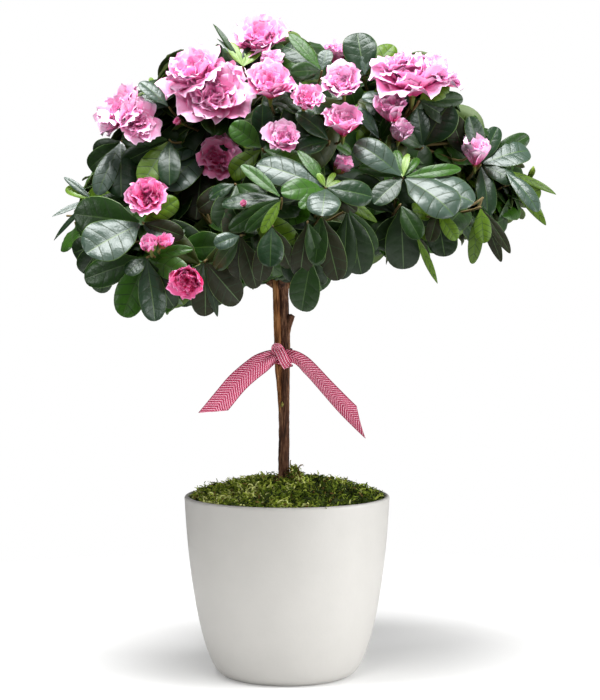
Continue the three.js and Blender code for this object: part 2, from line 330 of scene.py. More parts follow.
def glazed_pot():
    """Pale satin ceramic: nearly even, with a faint mottling and the slight waviness of a glaze."""
    material = plain("pot_glaze", linear(179, 177, 173), 0.44)
    n = Nodes(material)
    mottling = n.noise(n.place, 45, 5)
    n.drive("Base Color", n.ramp(mottling, (0.3, linear(177, 175, 171)), (0.7, linear(180, 178, 174))))
    n.drive("Roughness", n.range(mottling, 0.3, 0.7, 0.42, 0.47))
    ripple = n.bump(n.noise(n.place, 160, 3), 0.00025, 0.5)
    n.drive("Normal", n.bump(n.noise(n.place, 1400, 2), 0.00004, 0.5, ripple))
    return material


def bark(name, dark, middle, light):
    """Flaky bark: long fibres up the limb in three browns, rough and finely cracked."""
    material = plain(name, linear(*middle), 0.85, Specular_IOR_Level=0.2)
    n = Nodes(material)
    fibres = n.noise(n.stretched(1, 1, 0.09), 900, 6, 0.65)
    patches = n.noise(n.stretched(1, 1, 0.3), 130, 3)
    weak_patches = n.add("ShaderNodeMath", operation="MULTIPLY")
    weak_patches.inputs[1].default_value = 0.4
    n.link(patches, weak_patches.inputs[0])
    both = n.add("ShaderNodeMath", operation="MULTIPLY_ADD")
    both.inputs[1].default_value = 0.6
    n.link(fibres, both.inputs[0])
    n.link(weak_patches.outputs[0], both.inputs[2])
    browns = zip((0.4, 0.5, 0.62), (linear(*colour) for colour in (dark, middle, light)))
    n.drive("Base Color", n.ramp(both.outputs[0], *browns))
    n.drive("Roughness", n.range(fibres, 0.3, 0.7, 0.92, 0.7))
    n.drive("Normal", n.bump(fibres, 0.0006, 0.9))
    return material


def crumbly(name, dark, light, scale):
    """Compost or the moss bed under its strands: dark crumbs with lighter ones."""
    material = plain(name, linear(*dark), 0.95)
    n = Nodes(material)
    crumbs = n.noise(n.place, scale, 6, 0.7)
    n.drive("Base Color", n.ramp(crumbs, (0.35, linear(*dark)), (0.68, linear(*light))))
    n.drive("Normal", n.bump(crumbs, 0.0015, 1.0))
    return material


def uneven(material, scale, depth, strength, detail):
    """Gives a material a fine unevenness, and returns it."""
    n = Nodes(material)
    n.drive("Normal", n.bump(n.noise(n.place, scale, detail), depth, strength))
    return material


# The greens of a leaf's top: colour, roughness and shine. Seeded leaves are dealt the first six.
LEAF_TOPS = [
    ((14, 36, 2), 0.4, 0.28),
    ((23, 51, 4), 0.4, 0.32),
    ((42, 80, 8), 0.38, 0.34),
    ((18, 42, 8), 0.42, 0.32),
    ((74, 102, 10), 0.42, 0.28),
    ((44, 52, 10), 0.45, 0.28),
    # A painted sheen: a blue-grey green that stands for the reflected light above; its low roughness and
    # high shine are real gloss.
    ((50, 68, 56), 0.33, 0.46),
    # A painted half sheen: a cooler green for leaves that lie partly back to the light.
    ((22, 46, 22), 0.34, 0.36),
    ((32, 34, 14), 0.5, 0.18),
]
LEAF_TINT = (0.95, 0.99, 1.0, 1.0)
YOUNG_TOPS = [(98, 132, 34), (126, 150, 52)]
# The first material of each kind, in the order that leaf_materials gives them.
YOUNG_TOP = len(LEAF_TOPS)
MARGIN = YOUNG_TOP + len(YOUNG_TOPS)
MIDRIB = MARGIN + 1
UNDERSIDE = MARGIN + 2
YOUNG_EDGE = MARGIN + 4
# The side veins' dark green is a painted shade in their grooves.
SHADED_SIDE_VEIN = MARGIN + 5


def leaf_materials():
    """The greens that the leaves are dealt, and the colours of margins, midribs, undersides and side veins.
    """
    tops = []
    for i, (colour, roughness, shine) in enumerate(LEAF_TOPS):
        top = plain(f"leaf_top_{i}", linear(*colour), roughness, Specular_IOR_Level=shine,
                    Specular_Tint=LEAF_TINT)
        tops.append(uneven(top, 480, 0.0004, 0.6, 3))
    young = [plain(f"leaf_young_{i}", linear(*colour), 0.42, Specular_IOR_Level=0.5)
             for i, colour in enumerate(YOUNG_TOPS)]
    return tops + young + [
        plain("leaf_margin", linear(66, 94, 30), 0.45),
        plain("leaf_midrib", linear(48, 78, 20), 0.42),
        plain("leaf_underside_0", linear(84, 104, 44), 0.65),
        plain("leaf_underside_1", linear(70, 90, 38), 0.65),
        plain("leaf_young_edge", linear(158, 178, 84), 0.5),
        # Painted shade: the side veins' dark green stands for the shade in their grooves; their higher
        # roughness is real.
        plain("leaf_side_vein_painted_shade", linear(20, 42, 10), 0.6, Specular_IOR_Level=0.3),
    ]


# From the deep rose of a petal's claw to its pale rim.
PETALS = [(230, 50, 116), (241, 78, 146), (246, 110, 170), (249, 136, 190), (251, 160, 207), (252, 178, 219),
          (253, 196, 230), (254, 216, 241)]
SEPAL = len(PETALS)


def petal_materials():
    """The petals' pinks, then the bud scales' rust and green."""
    soft = dict(Specular_IOR_Level=0.25, Subsurface_Weight=0.12, Subsurface_Scale=0.003,
                Subsurface_Radius=(1.0, 0.4, 0.7))
    shades = [plain(f"petal_{i}", linear(*c), 0.62, **soft) for i, c in enumerate(PETALS)]
    return shades + [
        plain("bud_scale_rust", linear(132, 74, 38), 0.6),
        plain("bud_scale_green", linear(104, 112, 46), 0.6),
    ]


# ---- Camera, floor and light -----------------------------------------------------------------------

CAMERA_AT = np.array([10.1, -1500.0, 327.0])
CAMERA_PITCH = 2.82
CAMERA_LENS = 99.3


def make_camera():
    data = bpy.data.cameras.new("camera")
    data.lens = CAMERA_LENS
    data.sensor_width = 36
    data.clip_start = 0.05
    data.clip_end = 50
    camera = bpy.data.objects.new("camera", data)
    camera.location = Vector(CAMERA_AT * MM)
    camera.rotation_euler = (math.radians(90 - CAMERA_PITCH), 0, 0)
    bpy.context.scene.collection.objects.link(camera)
    bpy.context.scene.camera = camera


FLOOR_RADIUS = 1.4
FLOOR_ALPHA = 0.88
FADE_FROM = 0.22
FADE_TO = 0.62


def make_floor():
    """A white disc that fades out at its edge, so no line shows behind the pot."""
    material = plain("floor", (0.93, 0.93, 0.925, 1), 0.9)
    n = Nodes(material)
    out = n.add("ShaderNodeVectorMath", operation="LENGTH")
    n.link(n.place, out.inputs[0])
    n.drive("Alpha", n.range(out.outputs["Value"], FADE_FROM, FADE_TO, FLOOR_ALPHA, 0.0))
    bpy.ops.mesh.primitive_circle_add(vertices=96, radius=FLOOR_RADIUS, fill_type="NGON")
    floor = bpy.context.object
    floor.name = "floor"
    floor.data.materials.append(material)


# Name, place, the point it faces, width and height in metres, and watts.
SOFT_BOXES = [
    ("box_top", (-0.1, -0.36, 1.72), (0, 0, 0.4), (1.0, 0.8), 56),
    ("box_front", (-0.3, -1.7, 1.3), (0, 0, 0.4), (0.7, 0.7), 5),
    ("box_right", (1.8, -0.4, 0.6), (0, 0, 0.2), (0.9, 1.2), 30),
    ("box_left", (-1.7, -0.6, 0.5), (-0.05, 0, 0.25), (0.4, 0.5), 11),
    ("box_low", (1.35, -1.55, 0.1), (0, 0, 0.02), (0.8, 0.2), 14),
]
# The room's own light: its strength, and how much that rises towards +X, +Y and +Z.
ROOM_LIGHT = 0.23
ROOM_SLOPE = (0.19, 0.02, 0.06)
BACKDROP_LIGHT = 1.0


def soft_box(name, at, towards, size, power):
    data = bpy.data.lights.new(name, "AREA")
    data.shape = "RECTANGLE"
    data.size, data.size_y = size
    data.energy = power
    light = bpy.data.objects.new(name, data)
    light.location = at
    light.rotation_euler = (Vector(towards) - Vector(at)).to_track_quat("-Z", "Y").to_euler()
    bpy.context.scene.collection.objects.link(light)


def make_world():
    """A white backdrop for the camera, and a dimmer room that lights the plant, brightest at the right."""
    world = bpy.data.worlds.new("studio")
    bpy.context.scene.world = world
    world.use_nodes = True
    nodes, links = world.node_tree.nodes, world.node_tree.links
    background = nodes["Background"]
    background.inputs["Color"].default_value = (1, 1, 1, 1)
    place = nodes.new("ShaderNodeTexCoord")
    slope = nodes.new("ShaderNodeVectorMath")
    slope.operation = "DOT_PRODUCT"
    slope.inputs[1].default_value = ROOM_SLOPE
    links.new(place.outputs["Generated"], slope.inputs[0])
    level = nodes.new("ShaderNodeMath")
    level.operation = "ADD"
    level.inputs[1].default_value = ROOM_LIGHT
    links.new(slope.outputs["Value"], level.inputs[0])
    sight = nodes.new("ShaderNodeLightPath")
    either = nodes.new("ShaderNodeMix")
    links.new(sight.outputs["Is Camera Ray"], either.inputs["Factor"])
    links.new(level.outputs[0], either.inputs["A"])
    either.inputs["B"].default_value = BACKDROP_LIGHT
    links.new(either.outputs["Result"], background.inputs["Strength"])


def make_light():
    make_world()
    for row in SOFT_BOXES:
        soft_box(*row)
    bpy.context.scene.view_settings.view_transform = "Standard"


# ---- Pot and compost -------------------------------------------------------------------------------

FOOT_RING = [[0.01, 1.2], [40.5, 1.2], [42.5, 0.9], [43.5, 0.0], [47.0, 0.0]]
POT_FLOOR = 6.0
POT_SIDES = 144


def pot_side(share):
    """Points [radius, height] up the outside of the pot."""
    bulge = (0.956 * POT_RIM, 0.44 * POT_HEIGHT)
    corners = [(POT_FOOT, 0), (0.79 * POT_RIM, 0), bulge, (POT_RIM, POT_HEIGHT)]
    return cubic(*np.array(corners), np.asarray(share)[:, None])


def make_pot():
    outer = pot_side(np.linspace(0.02, 0.985, 44))
    lip = POT_WALL / 2
    turn = np.linspace(0, math.pi, 9)
    rim = np.stack([POT_RIM - lip + lip * np.cos(turn), POT_HEIGHT - lip + lip * np.sin(turn)], 1)
    inner = pot_side(np.linspace(0.97, 0.2, 14)) - [POT_WALL, 0]
    inner = inner[(inner[:, 1] > POT_FLOOR + 2) & (inner[:, 1] < POT_HEIGHT - POT_WALL)]
    floor = [[inner[-1, 0] - 3, POT_FLOOR], [0.01, POT_FLOOR]]
    profile = np.vstack([FOOT_RING, outer, rim, inner, floor])
    angle = np.linspace(0, 2 * math.pi, POT_SIDES, endpoint=False)
    radius, height = profile[:, 0][:, None], profile[:, 1][:, None]
    points = np.stack([radius * np.cos(angle), radius * np.sin(angle), height + 0 * angle], -1)
    shape = Shape()
    shape.add(points.reshape(-1, 3), grid_faces(len(profile), POT_SIDES, wrap=True), 0)
    shape.piece("pot_shell", [glazed_pot()], ["pot"])


def dress_soil():
    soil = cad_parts["potting_soil"]
    soil.data.materials.clear()
    soil.data.materials.append(crumbly("compost", (34, 24, 17), (72, 52, 36), 420))


# ---- Moss ------------------------------------------------------------------------------------------

MOSS_GREENS = [(36, 50, 6), (70, 90, 14), (114, 132, 34), (164, 178, 70), (216, 222, 138), (116, 92, 46)]
MOSS_BROWN = len(MOSS_GREENS) - 1
MOSS_REACH = 75.0
SPRIGS = 8600
SPRIG_STEPS = 6
# A brown tuft of longer sprigs stands to the right of the stem.
TUFT = 130
TUFT_AT = (5, -3)
TUFT_SPREAD = 3.2
TUFT_HEIGHT = 9
STALK_WIDTH = 0.62


def uneven_height(x, y, scale, seed):
    places = zip(np.ravel(x), np.ravel(y))
    made = [noise.noise(Vector((a * scale, b * scale, seed))) for a, b in places]
    return np.array(made).reshape(np.shape(x))


def moss_height(x, y):
    """The height of the mossy mound at a place, in mm: a low dome of soft tufts."""
    out = np.hypot(x, y) / MOSS_REACH
    dome = MOSS_EDGE - 1.2 + (MOSS_CROWN - MOSS_EDGE - 2) * (1 - out**2)
    tufts = 5.0 * uneven_height(x, y, 0.06, 3.1) + 3.6 * uneven_height(x, y, 0.17, 7.7)
    return dome + tufts * (1 - 0.7 * out**6)


def moss_bed():
    bed = Shape()
    rings, sides = 30, 132
    radius = np.linspace(0.5, MOSS_REACH + 0.4, rings)[:, None]
    angle = np.linspace(0, 2 * math.pi, sides, endpoint=False)[None]
    x, y = radius * np.cos(angle), radius * np.sin(angle)
    points = np.stack([x, y, moss_height(x, y)], -1)
    bed.add(points.reshape(-1, 3), grid_faces(rings, sides, wrap=True), 0)
    bed.piece("moss_bed", [crumbly("moss_bed", (30, 38, 8), (84, 100, 28), 700)], ["moss"])


def sprig_feet(rng):
    """Where the sprigs stand: all over the mound, and the tuft's ones higher."""
    out = MOSS_REACH * np.sqrt(rng.random(SPRIGS))
    around = rng.random(SPRIGS) * 2 * math.pi
    in_tuft = np.arange(SPRIGS) < TUFT
    x = np.where(in_tuft, TUFT_AT[0] + rng.normal(0, TUFT_SPREAD, SPRIGS), out * np.cos(around))
    y = np.where(in_tuft, TUFT_AT[1] + rng.normal(0, TUFT_SPREAD, SPRIGS), out * np.sin(around))
    raised = rng.uniform(0, TUFT_HEIGHT, SPRIGS) * in_tuft
    return np.stack([x, y, moss_height(x, y) - 0.6 + raised], 1)


def sprig_lines(rng, foot):
    """Each sprig's middle line, which curls over, the way it runs and the direction of its leaflets."""
    out = np.hypot(foot[:, 0], foot[:, 1])
    lean = rng.normal(0, 0.8, (SPRIGS, 3))
    lean[:, 2] = np.abs(lean[:, 2]) + 0.5
    lean[:, :2] -= (0.6 * (out / MOSS_REACH) ** 4 / np.maximum(out, 1))[:, None] * foot[:, :2]
    heading = unit(lean)[:, None, :]
    over = upright_to(rng.normal(0, 1, (SPRIGS, 3)) - [0, 0, 0.6], heading[:, 0])[:, None, :]
    length = rng.uniform(4.0, 8.0, SPRIGS)[:, None, None]
    whole_turn = rng.uniform(1.4, 3.6, SPRIGS)[:, None, None]
    turning = whole_turn * np.linspace(0, 1, SPRIG_STEPS)[None, :, None]
    lines = foot[:, None] + length * (heading * np.sin(turning) + over * (1 - np.cos(turning))) / whole_turn
    along = unit(np.gradient(lines, axis=1))
    side = upright_to(np.broadcast_to(rng.normal(0, 1, (SPRIGS, 1, 3)), along.shape), along)
    return lines, along, side


def sprig_shades(rng, foot):
    """The green of each sprig: in patches, paler the higher it stands, a painted highlight on the tops of
    the tufts, paler to the left and darker by the stem.
    """
    x, y, z = foot.T
    patch = uneven_height(x, y, 0.035, 11.0)
    by_stem = np.exp(-(np.hypot(x, y) / 45) ** 2)
    # The height term is a painted highlight: sprigs that stand higher get paler greens.
    brightness = 2.0 - 0.9 * by_stem + 2.4 * patch + 0.125 * (z - z.mean()) - 0.014 * x
    brightness = brightness + rng.normal(0, 1.0, SPRIGS)
    shade = np.clip(np.round(brightness), 0, MOSS_BROWN - 1).astype(int)
    near_stem = np.hypot(x + 1, y + 3) < 13
    browned = (rng.random(SPRIGS) < 0.04) | (near_stem & (rng.random(SPRIGS) < 0.5))
    return np.where(browned, MOSS_BROWN, shade)


def make_moss(rng):
    """The mossy bed, and short fronds over it that curl over, with leaflets on both sides."""
    moss_bed()
    foot = sprig_feet(rng)
    lines, along, side = sprig_lines(rng, foot)
    shade = sprig_shades(rng, foot)
    width = STALK_WIDTH * (1.1 - 0.6 * np.linspace(0, 1, SPRIG_STEPS)[None, :, None])
    stalk = np.stack([lines - side * width, lines + side * width], 2).reshape(SPRIGS, -1, 3)
    stalk_faces = grid_faces(SPRIG_STEPS, 2)
    shape = Shape()
    shape.add_copies(stalk, stalk_faces, np.repeat(shade[:, None], len(stalk_faces), 1))
    for step in range(1, SPRIG_STEPS):
        for way in (-1, 1):
            root = (lines[:, step - 1] + lines[:, step]) / 2
            reach = rng.uniform(0.8, 1.5, (SPRIGS, 1)) * (1.25 - step / SPRIG_STEPS)
            spread = rng.normal(0, 0.35, (SPRIGS, 3))
            barb = unit(way * side[:, step] + 0.7 * along[:, step] + spread)
            half_foot = along[:, step] * STALK_WIDTH
            leaflet = np.stack([root - half_foot, root + half_foot, root + barb * reach], 1)
            shape.add_copies(leaflet, [[0, 1, 2, 2]], shade[:, None])
    greens = [plain(f"moss_{i}", linear(*colour), 0.8, Specular_IOR_Level=0.25)
              for i, colour in enumerate(MOSS_GREENS)]
    shape.piece("moss_strands", greens)


# ---- Stem and boughs -------------------------------------------------------------------------------

def stem_points(count=240):
    between = STEM_FORK - STEM_FOOT
    return spline([
        STEM_FOOT,
        STEM_FOOT + 0.35 * between + [1.2, 0, 0],
        STEM_FOOT + 0.7 * between + [0.6, 0.8, 0],
        STEM_FORK,
        (STEM_FORK + STEM_TIP) / 2,
        STEM_TIP,
    ], count)


STEM = stem_points()


def on_stem(height):
    return np.array([np.interp(height, STEM[:, 2], STEM[:, axis]) for axis in range(3)])


SWELLS_FROM = 200
SWELLS_TO = 262
STEM_RADIUS = 4.1
TIP_RADIUS = 2.2


def stem_radius(height):
    swollen = 2.2 * smoothstep(height, SWELLS_FROM, SWELLS_TO)
    flare = 3.4 * np.exp(-(height - STEM_FOOT[2]) / 9)
    share = np.clip((height - STEM_FORK[2]) / (STEM_TIP[2] - STEM_FORK[2]), 0, 1)
    return (STEM_RADIUS + swollen + flare) * (1 - share) + TIP_RADIUS * share


def bark_relief(points, scale, seed):
    """How far the bark stands out at each point, from about -1 to 1: long flakes with cracks between."""
    made = np.empty(len(points))
    for i, (x, y, z) in enumerate(points):
        x, y, z = x * scale, y * scale, z * scale
        long = noise.noise(Vector((x * 1.5, y * 1.5, z * 0.1 + seed)))
        flake = noise.noise(Vector((x * 2.8, y * 2.8, z * 0.35 + seed + 9)))
        crack = 1 - abs(noise.noise(Vector((x * 1.8, y * 1.8, z * 0.08 + seed + 5)))) * 5
        made[i] = 0.7 * long + 0.6 * flake - 0.55 * max(0.0, crack)
    return made


def bark_limb(shape, path, radii, sides, relief, seed, kind=0):
    """One limb with its bark's relief in the mesh."""
    first, second, along = (f[0] for f in carried_frames(path[None]))
    angle = np.linspace(0, 2 * math.pi, sides, endpoint=False)
    ring = np.cos(angle)[:, None] * first[:, None] + np.sin(angle)[:, None] * second[:, None]
    surface = (path[:, None] + radii[:, None, None] * ring).reshape(-1, 3)
    height = bark_relief(surface, 0.5, seed).reshape(len(path), sides, 1) * relief
    points = (path[:, None] + (radii[:, None, None] + height) * ring).reshape(-1, 3)
    ends = np.stack([path[0], path[-1] + along[-1] * radii[-1] * 0.4])
    shape.add(np.vstack([points, ends]), limb_faces(len(path), sides), kind)


def bough_line(name, azimuth, reach, bottom, top, depth, index):
    """The bough of one mass, as four points of a cubic curve."""
    angle = math.radians(azimuth)
    outward = np.array([math.cos(angle), math.sin(angle), 0])
    centre = np.array([*CROWN_MIDDLE, (bottom + top) / 2]) + outward * (reach - depth)
    start = on_stem(300 + 16 * (index % 2) if name.startswith("skirt") else 340 + 9 * (index * 2 % 5))
    towards = unit(centre - start)
    end = centre + towards * (16 - 0.92 * depth)
    bend = start + 0.45 * (end - start) + 0.135 * np.linalg.norm(end - start) * UP
    return start, start + (bend - start) * 2 / 3, end + (bend - end) * 2 / 3, end


BOUGHS = {row[0]: bough_line(*row, index) for index, row in enumerate(MASSES) if row[0] != "top"}


def stem_line(low, high, count):
    heights = np.linspace(low, high, count)
    return heights, np.stack([on_stem(height) for height in heights])


def main_stem(shape):
    heights, path = stem_line(STEM_FOOT[2], STEM_TIP[2], 360)
    joined = smoothstep(heights, SWELLS_FROM, SWELLS_TO) * (1 - smoothstep(heights, 318, 400))
    path[:, 0] += 1.1 * joined
    bark_limb(shape, path, stem_radius(heights) - 1.7 * joined, 56, 0.7, 2.0)


def second_stem(shape):
    """The younger stem grown against the left side of the main one."""
    heights, path = stem_line(205, 330, 150)
    grown = smoothstep(heights, 204, 250)
    path += np.stack([-2.7 - 0.9 * grown, -1.6 - 0.4 * grown, 0 * heights], 1)
    bark_limb(shape, path, 1.5 + 1.6 * grown, 22, 0.4, 31.0, kind=1)


def cut_stub(shape):
    line = [on_stem(258) + [2.5, -1, 0], on_stem(269) + [4.4, -1.4, 0], on_stem(280) + [7.0, -1.8, 0]]
    bark_limb(shape, spline(line, 18), np.linspace(1.2, 3.3, 18), 22, 0.5, 6.0)


def lichen_patch(shape):
    middle = on_stem(211) + [-1.5, -float(stem_radius(211)) + 0.4, 0]
    line = middle + np.array([(0, 0, -1.8), (0.3, -0.3, 0), (0.2, 0, 1.9)])
    tubes(shape, line[None], np.array([[0.7, 1.2, 0.6]]), 9, 2)


def make_stem():
    """The stem with all that grows on it, and the boughs."""
    old = bark("bark_old", (36, 21, 13), (76, 47, 30), (132, 98, 72))
    young = bark("bark_young", (74, 43, 20), (124, 79, 42), (168, 124, 80))
    lichen = crumbly("lichen", (96, 92, 30), (176, 172, 84), 2400)
    shape = Shape()
    main_stem(shape)
    second_stem(shape)
    cut_stub(shape)
    lichen_patch(shape)
    shape.piece("trunk_bark", [old, young, lichen], ["trunk"])

    shape = Shape()
    for index, points in enumerate(BOUGHS.values()):
        path = bezier(*points, 60)[0]
        bark_limb(shape, path, np.linspace(3.2, 1.9, 60), 16, 0.35, 20.0 + index)
    shape.piece("boughs_bark", [old], ["bough_" + name for name in BOUGHS])


# ---- Leaves ----------------------------------------------------------------------------------------

# A leaf's grid: the places of its columns from edge to edge, of its side veins along the midrib, and how
# far it swells between them, by column. Relief is in mm on a leaf 20 mm wide.
TOP_COLUMNS = np.array([-1.0, -0.965, -0.7, -0.38, -0.035, 0.035, 0.38, 0.7, 0.965, 1.0])
UNDER_COLUMNS = np.array([-1.0, -0.05, 0.05, 1.0])
SIDE_VEINS = (0.2, 0.4, 0.59, 0.77)
VEIN_WIDTH = 0.014
BLADE_SWELL = 0.62
BLADE_BLUNT = 0.45
VEIN_LEAN = 0.15
LEAF_THICKNESS = 0.45
LEAF_STALK = 0.07
MIDRIB_SUNK = 0.3
QUILTING = {0.38: 0.85, 0.7: 0.6, 0.965: 0.06}


def leaf_outline(u):
    """Half the leaf's width along it, as a share of its widest: a short stalk, then a blunt oval."""
    blade = np.clip((u - LEAF_STALK) / (1 - LEAF_STALK), 0, 1)
    peak = BLADE_SWELL / (BLADE_SWELL + BLADE_BLUNT)
    shape = blade**BLADE_SWELL * (1 - blade) ** BLADE_BLUNT
    widest = peak**BLADE_SWELL * (1 - peak) ** BLADE_BLUNT
    return np.maximum(shape / widest, 0.075)


def leaf_rows():
    """How far along the leaf each row of points is, and whether the leaf swells there between veins."""
    starts = np.array(SIDE_VEINS)
    swells = (starts[1:] + starts[:-1] + VEIN_WIDTH) / 2
    plain_rows = [0.0, LEAF_STALK, *starts, *(starts + VEIN_WIDTH), 0.96, 0.998]
    rows = sorted([(t, False) for t in plain_rows] + [(t, True) for t in [*swells, 0.89]])
    return np.array([t for t, _ in rows]), np.array([swell for _, swell in rows])


def leaf_template():
    """One leaf's grid, whose rows follow the side veins: it swells between them.

    Returns how far along and across each point is, its relief in mm on a leaf 20 mm wide, the quads, and
    each quad's part: 0 blade, 1 margin, 2 midrib, 3 under, 4 side vein. The underside has fewer columns
    and shares the leaf's edge.
    """
    t, swells = leaf_rows()
    rows = len(t)

    def lay(columns):
        along, across = np.meshgrid(t, columns, indexing="ij")
        return along + VEIN_LEAN * np.abs(across) * 4 * along * (1 - along), across

    along, across = lay(TOP_COLUMNS)
    relief = np.where(np.abs(across) < 0.1, -MIDRIB_SUNK, 0.0)
    for column, height in QUILTING.items():
        relief = np.where((np.abs(across) == column) & swells[:, None], height, relief)
    quads = grid_faces(rows, len(TOP_COLUMNS))
    part = np.tile([1, 0, 0, 0, 2, 0, 0, 0, 1], (rows - 1, 1))
    is_vein = np.isclose(np.diff(t), VEIN_WIDTH)
    part[is_vein] = np.where(part[is_vein] == 0, 4, part[is_vein])

    low_along, low_across = lay(UNDER_COLUMNS)
    inner = np.zeros(low_along.shape, bool)
    inner[:, 1:-1] = True
    number = np.empty(low_along.shape, int)
    number[:, 0] = np.arange(rows) * len(TOP_COLUMNS)
    number[:, -1] = number[:, 0] + len(TOP_COLUMNS) - 1
    number[inner] = along.size + np.arange(inner.sum())
    under_relief = np.full(inner.sum(), -MIDRIB_SUNK - LEAF_THICKNESS)
    under_quads = number.ravel()[grid_faces(rows, len(UNDER_COLUMNS))][:, ::-1]
    return (
        np.concatenate([along.ravel(), low_along[inner]]),
        np.concatenate([across.ravel(), low_across[inner]]),
        np.concatenate([relief.ravel(), under_relief]),
        np.concatenate([quads, under_quads]),
        np.concatenate([part.ravel(), np.full(len(under_quads), 3)]),
    )


LEAF = leaf_template()


def leaf_points(leaves):
    """Every leaf's points (n, v, 3). leaves is a dict of arrays, one row for each leaf."""
    u, v, relief = (a[None] for a in LEAF[:3])
    column = {key: value[:, None] for key, value in leaves.items() if value.ndim == 1}
    bend = column["droop"] * u + column["tip_curl"] * u**3
    along = column["length"] * (u - bend**2 * u / 6)
    down = column["length"] * (bend * u / 2 - bend**3 * u / 24)
    pointed = np.clip(1.6 - 5.0 * column["width"] / column["length"], 0, 0.75)
    half = 0.5 * column["width"] * leaf_outline(u) * (1 - pointed * u**3)
    wave = column["wave"] * np.sin(9 * u + column["phase"]) * v * np.abs(v)
    lift = half * (column["fold"] * np.abs(v) - column["recurve"] * v**4 + wave)
    lift = lift + relief * column["width"] / 20 * smoothstep(half, 0.8, 3.0)
    turn = column["twist"] * u
    normal_y, normal_z = np.sin(bend), np.cos(bend)
    x = v * half * np.cos(turn) - lift * np.sin(turn)
    up = v * half * np.sin(turn) + lift * np.cos(turn)
    y = along + up * normal_y
    z = -down + up * normal_z
    place = leaves["root"][:, None] + x[..., None] * leaves["side"][:, None]
    return place + y[..., None] * leaves["heading"][:, None] + z[..., None] * leaves["facing"][:, None]


def leaf_kinds(leaves):
    """The material of each quad of each leaf."""
    part = LEAF[4][None]
    top = leaves["shade"][:, None]
    is_young = top >= YOUNG_TOP
    under = np.where(is_young, top, UNDERSIDE + leaves["shade"][:, None] % 2)
    edge = np.where(is_young, YOUNG_EDGE, MARGIN)
    rib = np.where(is_young, YOUNG_EDGE, MIDRIB)
    # Side-vein quads take the dark vein green, a painted shade in the grooves; young leaves keep their top
    # green there.
    vein = np.where(is_young, top, SHADED_SIDE_VEIN)
    return np.choose(part, [top, edge, rib, under, vein])


# ---- Where the whorls and blooms are ---------------------------------------------------------------

def mass_mesh(name):
    """The CAD mass's points in mm and its triangles."""
    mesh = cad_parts["foliage_" + name].data
    points = np.empty(len(mesh.vertices) * 3, np.float32)
    mesh.vertices.foreach_get("co", points)
    mesh.calc_loop_triangles()
    triangles = np.empty(len(mesh.loop_triangles) * 3, np.int32)
    mesh.loop_triangles.foreach_get("vertices", triangles)
    return points.reshape(-1, 3).astype(float) / MM, triangles.reshape(-1, 3)


def crown_skin():
    """One search tree over every mass, and which mass each of its triangles is on."""
    points, triangles, owners, count = [], [], [], 0
    for index, name in enumerate(MASS_NAMES):
        own_points, own_triangles = mass_mesh(name)
        points.append(own_points)
        triangles.append(own_triangles + count)
        owners.append(np.full(len(own_triangles), index))
        count += len(own_points)
    points, triangles = np.concatenate(points), np.concatenate(triangles)
    tree = BVHTree.FromPolygons(points.tolist(), triangles.tolist())
    return points, triangles, np.concatenate(owners), tree


SKIN_POINTS, SKIN_TRIANGLES, SKIN_OWNER, SKIN = crown_skin()


def seen_at(x, z):
    """The skin's point, outward direction and mass that the camera sees at (x, z) in the plane
    through the stem. Past the outline it is the nearest skin.
    """
    ray = Vector((x, 0, z)) - Vector(CAMERA_AT)
    hit, normal, triangle, _ = SKIN.ray_cast(Vector(CAMERA_AT), ray.normalized())
    if hit is None:
        hit, normal, triangle, _ = SKIN.find_nearest(Vector((x, -30, z)))
    return np.array(hit), np.array(normal), int(SKIN_OWNER[triangle])


def on_sight(x, z, y):
    """The point at depth y that the camera sees at (x, z) in the plane through the stem."""
    at = np.array([x, 0.0, z])
    return CAMERA_AT + (at - CAMERA_AT) * (y - CAMERA_AT[1]) / -CAMERA_AT[1]


def spread_points(rng, taken, spacing):
    """Seeded points over the crown's open skin, at least spacing apart and clear of the taken ones."""
    corners = SKIN_POINTS[SKIN_TRIANGLES]
    cross = np.cross(corners[:, 1] - corners[:, 0], corners[:, 2] - corners[:, 0])
    area = np.linalg.norm(cross, axis=1)
    normals = cross / np.maximum(area[:, None], 1e-9)
    picked = rng.choice(len(area), SKIN_SAMPLES, p=area / area.sum())
    a, b = rng.random((2, SKIN_SAMPLES, 1))
    flip = (a + b) > 1
    a, b = np.where(flip, 1 - a, a), np.where(flip, 1 - b, b)
    tri = corners[picked]
    points = tri[:, 0] + a * (tri[:, 1] - tri[:, 0]) + b * (tri[:, 2] - tri[:, 0])
    kept, found = list(taken), []
    for point, normal, triangle in zip(points, normals[picked], picked):
        room = spacing * (1.45 if normal[2] < -0.45 else 1.0)
        crowded = min(np.linalg.norm(point - other) for other in kept) < room
        if crowded:
            continue
        if SKIN.ray_cast(Vector(point + normal * 0.5), Vector(normal), CLEAR_AHEAD)[0] is not None:
            continue
        kept.append(point)
        found.append((point, normal, int(SKIN_OWNER[triangle])))
    return found
